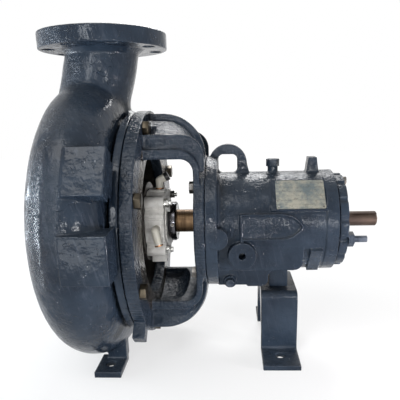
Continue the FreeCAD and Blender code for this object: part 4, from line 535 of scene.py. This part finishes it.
cast_grain = make_cast_grain()
hammered = make_hammered()
brush_marks = make_brush_marks()
round_marks = make_round_marks()
bare_face = make_bare_face()
worn_edges_and_hollow_shade = make_worn_edges_and_hollow_shade()
settled_dust = make_settled_dust()
flecks = make_flecks()


# Finishes

ENAMEL_SPECULAR = 0.19
ENAMEL_DULLING = 0.16
DARK_SLATE = rgba(0.0085, 0.0140, 0.0235)
LIGHT_SLATE = rgba(0.025, 0.038, 0.057)
BRUSHED_SLATE = rgba(0.050, 0.062, 0.085)
RIM_STROKES = rgba(0.12, 0.135, 0.16)
# Painted shade for the enamel's hollows and creases
PAINTED_HOLLOW_SHADE = rgba(0.005, 0.006, 0.009)
PALE_DUST = rgba(0.12, 0.13, 0.14)
# Rubbed paint on outer edges, lightened further as a painted edge highlight
RUBBED_SLATE_AND_EDGE_HIGHLIGHT = rgba(0.20, 0.22, 0.26)
CHIPPED_SLATE = rgba(0.45, 0.47, 0.50)
IRON = rgba(0.02, 0.017, 0.015)
SCRATCHED_IRON = rgba(0.12, 0.105, 0.09)
# Painted shade for the hollows of metals
METAL_HOLLOW_SHADE = rgba(0.02, 0.018, 0.015)
# Painted shade for the hollows of plastics and rubber
MOULDED_HOLLOW_SHADE = rgba(0.03, 0.03, 0.03)
BRONZE_BROWN = rgba(0.20, 0.125, 0.065)
DEEP_BRONZE = rgba(0.12, 0.072, 0.038)
OILED_STEEL = rgba(0.10, 0.068, 0.052)
DARK_OIL = rgba(0.05, 0.034, 0.027)
RUBBED_SHAFT = rgba(0.42, 0.36, 0.29)
PLATE_ALUMINIUM = rgba(0.30, 0.29, 0.24)
PLATE_STAIN = rgba(0.12, 0.145, 0.15)
PLATE_GRIME = rgba(0.07, 0.065, 0.055)
PLATE_LINES = rgba(0.08, 0.08, 0.075)


def new_material(name):
    material = bpy.data.materials.new(name)
    material.use_nodes = True
    tree = material.node_tree
    surface = tree.nodes["Principled BSDF"]
    return material, tree, surface


def slate_enamel(
    name, *, gloss, depth, lump_scale, wrinkles=0.3, upward=0.3, strokes=0.1, rim=0.0, ridges=0.1,
    flank=0.0, dimples=0.0, front=-1.0, top=1.0, bare=None,
):
    """Thick dark blue-grey enamel, brushed over a rough casting.
    gloss is its lowest roughness and depth the height of its relief. The rest are the shares of
    the effects, the planes of the dimpled paint, and in bare the station and the radius of a
    machined face where the enamel has worn off."""
    material, tree, surface = new_material(name)
    grain = use(tree, cast_grain, {
        "Lump Scale": lump_scale, "Pit Scale": 240.0, "Pit Share": 0.10, "Wrinkle Share": wrinkles,
        "Upward Share": upward, "Ridge Share": ridges, "Flank Only": flank,
    })
    dimpled = use(tree, hammered, {"Front": front, "Top": top})
    pulled = use(tree, brush_marks)
    across = use(tree, round_marks)
    edges_and_hollows = use(tree, worn_edges_and_hollow_shade, {"Patch Scale": 45.0})
    dust = use(tree, settled_dust)
    chips = use(tree, flecks, {"Scale": 110.0, "Size": 0.08, "Share": 0.56})

    colour = blend_colours(tree, spread(tree, grain["Tone"], 0.32, 0.68), DARK_SLATE, LIGHT_SLATE)
    for mask, share, tint in (
        (pulled["Streaks"], 2 * strokes, BRUSHED_SLATE),
        (across["Streaks"], rim, RIM_STROKES),
        # painted shade in the hollows, darker where the surface curves inwards
        (edges_and_hollows["Hollow"], 0.7, PAINTED_HOLLOW_SHADE),
        (dust["Mask"], 0.25, PALE_DUST),
        # rubbed paint along outer edges, with a painted highlight on them
        (edges_and_hollows["Mask"], 0.6, RUBBED_SLATE_AND_EDGE_HIGHLIGHT),
        (chips["Mask"], 0.8, CHIPPED_SLATE),
    ):
        colour = lay_over(tree, colour, mask, share, tint)
    if bare:
        station, radius = bare
        worn = use(tree, bare_face, {"Station": station, "Radius": radius})["Mask"]
        scratches = spread(tree, grain["Height"], 0.45, 0.75)
        iron = blend_colours(tree, scratches, IRON, SCRATCHED_IRON)
        colour = blend_colours(tree, worn, colour, iron)
        plug(tree, surface, {"Metallic": calculate(tree, "MULTIPLY", worn, 0.7)})

    height = calculate(
        tree, "ADD", grain["Height"],
        calculate(tree, "MULTIPLY", pulled["Height"], strokes),
        calculate(tree, "MULTIPLY", across["Height"], rim),
        calculate(tree, "MULTIPLY", dimpled["Height"], dimples),
    )
    plug(tree, surface, {
        "Base Color": colour,
        "Roughness": spread(tree, grain["Tone"], 0.3, 0.75, gloss, gloss + ENAMEL_DULLING),
        "Specular IOR Level": ENAMEL_SPECULAR,
    })
    bump(tree, surface, height, depth)
    return material


def metal(name, *, colour, tint, worn, roughness, grain_scale, depth, hollow_shade=0.4, metallic=1.0):
    """A metal with uneven tone, fine tool marks, rubbed edges and painted shade in its corners."""
    material, tree, surface = new_material(name)
    grain = use(tree, cast_grain, {"Lump Scale": grain_scale, "Pit Scale": 6 * grain_scale})
    edges_and_hollows = use(tree, worn_edges_and_hollow_shade, {"Patch Scale": 140.0})
    tone = spread(tree, grain["Tone"], 0.38, 0.62)
    mottle = spread(tree, grain["Height"], 0.5, 0.9)
    base = lay_over(tree, rgba(*colour), mottle, tone, rgba(*tint))
    # Painted shade in the hollows, at the share given for the metal
    base = lay_over(tree, base, edges_and_hollows["Hollow"], hollow_shade, METAL_HOLLOW_SHADE)
    base = lay_over(tree, base, edges_and_hollows["Mask"], 0.7, rgba(*worn))
    rough = spread(tree, grain["Height"], 0.45, 0.95, roughness - 0.08, roughness + 0.1)
    plug(tree, surface, {"Base Color": base, "Roughness": rough, "Metallic": metallic})
    bump(tree, surface, grain["Height"], depth, strength=0.6)
    return material


def moulded(name, colour, tint, roughness):
    """Plastic, rubber, carbon or fibre: no metal under it."""
    material, tree, surface = new_material(name)
    grain = use(tree, cast_grain, {"Lump Scale": 220.0, "Pit Scale": 900.0})
    edges_and_hollows = use(tree, worn_edges_and_hollow_shade, {"Patch Scale": 200.0})
    tone = spread(tree, grain["Tone"], 0.35, 0.65)
    base = blend_colours(tree, tone, rgba(*colour), rgba(*tint))
    # Painted shade in the hollows
    base = lay_over(tree, base, edges_and_hollows["Hollow"], 0.3, MOULDED_HOLLOW_SHADE)
    rough = spread(tree, grain["Height"], 0.4, 0.9, roughness - 0.06, roughness + 0.08)
    plug(tree, surface, {"Base Color": base, "Roughness": rough})
    bump(tree, surface, grain["Height"], 0.1 * MM, strength=0.5)
    return material


def turned_shaft():
    """A turned shaft: bronze-brown inside the adapter, darker with oil and rust at its end."""
    material, tree, surface = new_material("turned_shaft")
    grain = use(tree, cast_grain, {"Lump Scale": 70.0, "Pit Scale": 420.0})
    edges_and_hollows = use(tree, worn_edges_and_hollow_shade, {"Patch Scale": 140.0})
    place = parts_of(tree, object_place(tree))
    along, across = 900.0, 25.0
    turned = vector_of(
        tree,
        X=calculate(tree, "MULTIPLY", place["X"], along),
        Y=calculate(tree, "MULTIPLY", place["Y"], across),
        Z=calculate(tree, "MULTIPLY", place["Z"], across),
    )
    rings = noise_value(tree, turned, 1.0)
    outside = spread(tree, place["X"], 300 * MM, 400 * MM)
    warm = blend_colours(tree, spread(tree, rings, 0.4, 0.6), BRONZE_BROWN, DEEP_BRONZE)
    dark = blend_colours(tree, spread(tree, grain["Tone"], 0.4, 0.6), OILED_STEEL, DARK_OIL)
    colour = blend_colours(tree, outside, warm, dark)
    colour = lay_over(tree, colour, edges_and_hollows["Mask"], 0.6, RUBBED_SHAFT)
    rough = spread(tree, rings, 0.4, 0.6, 0.42, 0.55)
    plug(tree, surface, {"Base Color": colour, "Roughness": rough, "Metallic": 0.75})
    height = calculate(tree, "ADD", rings, grain["Height"])
    bump(tree, surface, height, 0.06 * MM, strength=0.6)
    return material


def blank_plate():
    """Stained aluminium plate with faint empty fields."""
    material, tree, surface = new_material("blank_plate")
    grain = use(tree, cast_grain, {"Lump Scale": 120.0, "Pit Scale": 700.0})
    whole = object_place(tree)
    stains = noise_value(tree, whole, 45.0, detail=5.0, roughness=0.7)
    grime = noise_value(tree, whole, 160.0, detail=4.0, roughness=0.7)
    rows_per_metre, line_share = 150.0, 0.3
    rows = calculate(tree, "MULTIPLY", parts_of(tree, whole)["Z"], rows_per_metre)
    lines = calculate(tree, "LESS_THAN", calculate(tree, "FRACT", rows), line_share)
    kept = calculate(tree, "GREATER_THAN", noise_value(tree, whole, 260.0, detail=1.0), 0.5)
    lines = calculate(tree, "MULTIPLY", lines, kept)
    stained = spread(tree, stains, 0.38, 0.62)
    colour = blend_colours(tree, stained, PLATE_ALUMINIUM, PLATE_STAIN)
    colour = lay_over(tree, colour, spread(tree, grime, 0.55, 0.7), 0.6, PLATE_GRIME)
    colour = lay_over(tree, colour, lines, 0.22, PLATE_LINES)
    rough = spread(tree, grain["Height"], 0.4, 0.9, 0.35, 0.55)
    plug(tree, surface, {"Base Color": colour, "Roughness": rough, "Metallic": 0.7})
    bump(tree, surface, calculate(tree, "SUBTRACT", grain["Height"], lines), 0.15 * MM)
    return material


# Per slot: the metal's colour, its second tone, its rubbed edges, and its grain per metre.
METALS = {
    "bare_iron": dict(
        colour=(0.035, 0.032, 0.030), tint=(0.07, 0.06, 0.05), worn=(0.3, 0.28, 0.26),
        roughness=0.5, grain_scale=90.0, depth=0.2 * MM, metallic=0.6),
    "dark_steel": dict(
        colour=(0.10, 0.095, 0.09), tint=(0.22, 0.19, 0.15), worn=(0.45, 0.43, 0.4),
        roughness=0.38, grain_scale=150.0, depth=0.15 * MM),
    "old_brass_steel": dict(
        colour=(0.060, 0.050, 0.036), tint=(0.018, 0.018, 0.019), worn=(0.11, 0.095, 0.07),
        roughness=0.40, grain_scale=60.0, depth=0.3 * MM),
    "stainless": dict(
        colour=(0.50, 0.50, 0.48), tint=(0.38, 0.37, 0.34), worn=(0.75, 0.75, 0.73),
        roughness=0.30, grain_scale=160.0, depth=0.08 * MM),
    # Cast stainless takes the full painted shade in its hollows.
    "cast_stainless": dict(
        colour=(0.86, 0.84, 0.80), tint=(0.52, 0.50, 0.46), worn=(0.90, 0.89, 0.86),
        roughness=0.45, grain_scale=110.0, depth=0.25 * MM, hollow_shade=1.0, metallic=0.0),
    "black_chrome": dict(
        colour=(0.09, 0.09, 0.10), tint=(0.16, 0.15, 0.15), worn=(0.5, 0.5, 0.5),
        roughness=0.26, grain_scale=60.0, depth=0.05 * MM),
    "bearing_steel": dict(
        colour=(0.62, 0.63, 0.64), tint=(0.50, 0.50, 0.50), worn=(0.8, 0.8, 0.8),
        roughness=0.16, grain_scale=80.0, depth=0.02 * MM),
    "copper": dict(
        colour=(0.46, 0.22, 0.10), tint=(0.30, 0.13, 0.06), worn=(0.7, 0.42, 0.25),
        roughness=0.38, grain_scale=200.0, depth=0.08 * MM),
}
MOULDINGS = {
    "cream_plastic": dict(colour=(0.86, 0.83, 0.74), tint=(0.76, 0.72, 0.62), roughness=0.42),
    "white_plastic": dict(colour=(0.78, 0.78, 0.76), tint=(0.66, 0.66, 0.63), roughness=0.40),
    "black_plastic": dict(colour=(0.02, 0.02, 0.02), tint=(0.035, 0.035, 0.035), roughness=0.35),
    "carbon": dict(colour=(0.04, 0.04, 0.045), tint=(0.06, 0.06, 0.06), roughness=0.28),
    "silicon_carbide": dict(colour=(0.10, 0.10, 0.11), tint=(0.14, 0.14, 0.15), roughness=0.25),
    "gasket": dict(colour=(0.10, 0.14, 0.12), tint=(0.14, 0.17, 0.15), roughness=0.7),
    "rubber": dict(colour=(0.025, 0.025, 0.025), tint=(0.04, 0.04, 0.04), roughness=0.6),
}
materials = {slot: metal(slot, **look) for slot, look in METALS.items()}
materials.update({slot: moulded(slot, **look) for slot, look in MOULDINGS.items()})
materials["brown_shaft"] = turned_shaft()
materials["plate_aluminium"] = blank_plate()
materials["slate_enamel"] = slate_enamel(
    "slate_enamel", gloss=0.22, depth=1.2 * MM, lump_scale=120.0,
)
volute_enamel = slate_enamel(
    "volute_enamel", gloss=0.09, depth=2.3 * MM, lump_scale=34.0, wrinkles=2.6, upward=0.5,
    strokes=0.24, ridges=0.3, flank=1.0, dimples=0.12,
)
adapter_enamel = slate_enamel(
    "adapter_enamel", gloss=0.08, depth=2.8 * MM, lump_scale=60.0, wrinkles=0.2, upward=0.6,
    rim=0.28, ridges=0.15, dimples=0.6, front=-94.5 * MM, bare=(78 * MM, 180 * MM),
)
housing_enamel = slate_enamel(
    "housing_enamel", gloss=0.09, depth=2.0 * MM, lump_scale=45.0, upward=0.5, ridges=0.3,
    dimples=0.5, top=353 * MM,
)


# Castings, machined pieces and the nodes that keep their own shape

cast_skin(
    "casing", volute_enamel, voxel=1.8 * MM, rounding=3, lump_size=60 * MM, lump_depth=0.9 * MM,
    keep=0.3, reshape=enlarge_upper_pad, rework=blend_neck,
)
cast_skin(
    "adapter", adapter_enamel, voxel=1.5 * MM, rounding=3, lump_size=30 * MM, lump_depth=0.8 * MM,
    keep=0.35, rework=round_lips,
)
cast_skin(
    "bearing_housing", housing_enamel, voxel=1.2 * MM, rounding=3, lump_size=40 * MM,
    lump_depth=0.5 * MM, keep=0.35, reshape=raise_badge_bead,
)
cast_skin(
    "rear_foot", housing_enamel, voxel=1.5 * MM, rounding=4, lump_size=40 * MM,
    lump_depth=0.4 * MM, keep=0.3,
)
cast_skin(
    "bearing_carrier", housing_enamel, voxel=1.2 * MM, rounding=3, lump_size=30 * MM,
    lump_depth=0.3 * MM, keep=0.4,
)

for node in (
    "casing_screws", "frame_bolts", "foot_screws", "gland_nuts", "carrier_set_screws",
    "carrier_stud_nut", "filler_plug", "drain_plug", "seal_gland", "drive_collar",
    "setting_clips", "upper_elbow_cap",
):
    broken_edges(node, materials[slot_of[node]], width=0.5 * MM)

for name, node in nodes.items():
    node.data.materials.clear()
    node.data.materials.append(materials[slot_of[name]])
nodes["nameplate_pins"].data.materials[0] = materials["dark_steel"]


# Camera, fitted to the photo

PHOTO_SIZE = 400
FOCAL_PIXELS = 442.9
PRINCIPAL_POINT = (213.9, 228.5)
SENSOR = 36.0
CAMERA_PLACE = (0.2304, -0.8532, 0.4608)
YAW, PITCH, ROLL = math.radians(2.55), math.radians(14.69), math.radians(-1.34)

lens = bpy.data.cameras.new("photo_camera")
lens.sensor_width = SENSOR
lens.lens = FOCAL_PIXELS * SENSOR / PHOTO_SIZE
lens.shift_x = (PHOTO_SIZE / 2 - PRINCIPAL_POINT[0]) / PHOTO_SIZE
lens.shift_y = (PRINCIPAL_POINT[1] - PHOTO_SIZE / 2) / PHOTO_SIZE
camera = link(bpy.data.objects.new("photo_camera", lens))
camera.matrix_world = (
    Matrix.Translation(CAMERA_PLACE) @ Matrix.Rotation(YAW, 4, "Z")
    @ Matrix.Rotation(math.pi / 2 - PITCH, 4, "X") @ Matrix.Rotation(ROLL, 4, "Z")
)
scene.camera = camera
scene.view_settings.view_transform = "Standard"


# Lamps

def softbox(name, place, target, width, height, watts, colour=(1.0, 1.0, 1.0)):
    lamp = bpy.data.lights.new(name, "AREA")
    lamp.shape = "RECTANGLE"
    lamp.size = width
    lamp.size_y = height
    lamp.energy = watts
    lamp.color = colour
    holder = link(bpy.data.objects.new(name, lamp))
    holder.location = place
    holder.rotation_euler = (Vector(target) - Vector(place)).to_track_quat("-Z", "Y").to_euler()


MIDDLE = (0.18, 0.0, 0.28)
SKY = (0.80, 0.90, 1.0)
CLOUD = (0.84, 0.92, 1.0)
DAYLIGHT = (0.92, 0.96, 1.0)
ROSE = (1.0, 0.94, 0.98)

softbox("overhead", (-0.30, -0.90, 1.70), MIDDLE, 1.1, 0.7, 13.0)
softbox("left_window", (-1.3, 0.22, 0.32), (-0.05, 0.0, 0.28), 0.14, 0.6, 12.0, SKY)
softbox("left_fill", (-1.3, -0.45, 0.26), (-0.05, 0.0, 0.25), 0.22, 0.6, 9.0, CLOUD)
softbox("front_window", (-0.32, -1.25, 0.80), (0.0, -0.2, 0.3), 0.24, 0.5, 5.0, DAYLIGHT)
softbox("floor_card", (-0.25, -1.03, 0.03), (0.0, -0.27, 0.26), 0.5, 0.3, 2.3, DAYLIGHT)
softbox("right_strip", (0.80, -0.34, 0.09), (0.03, -0.25, 0.3), 0.04, 0.10, 4.0, ROSE)
softbox("front_card", (0.12, -1.6, 0.42), MIDDLE, 0.10, 0.14, 3.0)
softbox("seal_light", (0.50, -0.80, 0.34), (0.10, -0.05, 0.27), 0.08, 0.08, 1.4)
softbox("back_light", (0.30, 1.20, 1.45), MIDDLE, 1.0, 0.4, 24.0)


# White room and pale floor

WHITE = rgba(1.0, 1.0, 1.0)
ROOM_LIGHT = 0.08
FLOOR_HALF = 4.0
FLOOR_GLOW = 1.1
UNDER_PUMP = (0.18, 0.0, 0.0)
SHADOW_NEAR, SHADOW_FAR = 0.35, 1.2
WHITE_NEAR, WHITE_FAR = 0.6, 0.98


def seen_directly(tree):
    """1 for the camera, in reflections and through clear pieces, and 0 for light on the pump."""
    path = add_node(tree, "LightPath").outputs
    return calculate(
        tree, "MAXIMUM",
        path["Is Camera Ray"], path["Is Glossy Ray"], path["Is Transmission Ray"],
    )


world = bpy.data.worlds.new("white_room")
world.use_nodes = True
scene.world = world
tree = world.node_tree
strength = spread(tree, seen_directly(tree), 0.0, 1.0, ROOM_LIGHT, 1.0)
plug(tree, tree.nodes["Background"], {"Color": WHITE, "Strength": strength})

floor_mesh = bpy.data.meshes.new("floor")
corners = [(x * FLOOR_HALF, y * FLOOR_HALF, 0) for x, y in ((-1, -1), (1, -1), (1, 1), (-1, 1))]
floor_mesh.from_pydata(corners, [], [(0, 1, 2, 3)])
floor = link(bpy.data.objects.new("floor", floor_mesh))
floor_finish, tree, surface = new_material("pale_floor")
plug(tree, surface, {"Base Color": rgba(0.8, 0.8, 0.8), "Roughness": 0.9})
glow = add_node(tree, "Emission", {"Color": WHITE, "Strength": FLOOR_GLOW})
# The floor shows less of its own white near the pump, so that the pump's shadow stays on it.
from_pump = add_node(
    tree, "VectorMath", {0: object_place(tree), 1: UNDER_PUMP}, operation="DISTANCE",
).outputs["Value"]
whiteness = spread(tree, from_pump, SHADOW_NEAR, SHADOW_FAR, WHITE_NEAR, WHITE_FAR)
share = calculate(tree, "MULTIPLY", seen_directly(tree), whiteness)
both = add_node(tree, "MixShader", {0: share, 1: surface.outputs[0], 2: glow.outputs[0]})
plug(tree, tree.nodes["Material Output"], {"Surface": both.outputs[0]})
floor_mesh.materials.append(floor_finish)


bpy.context.view_layer.update()
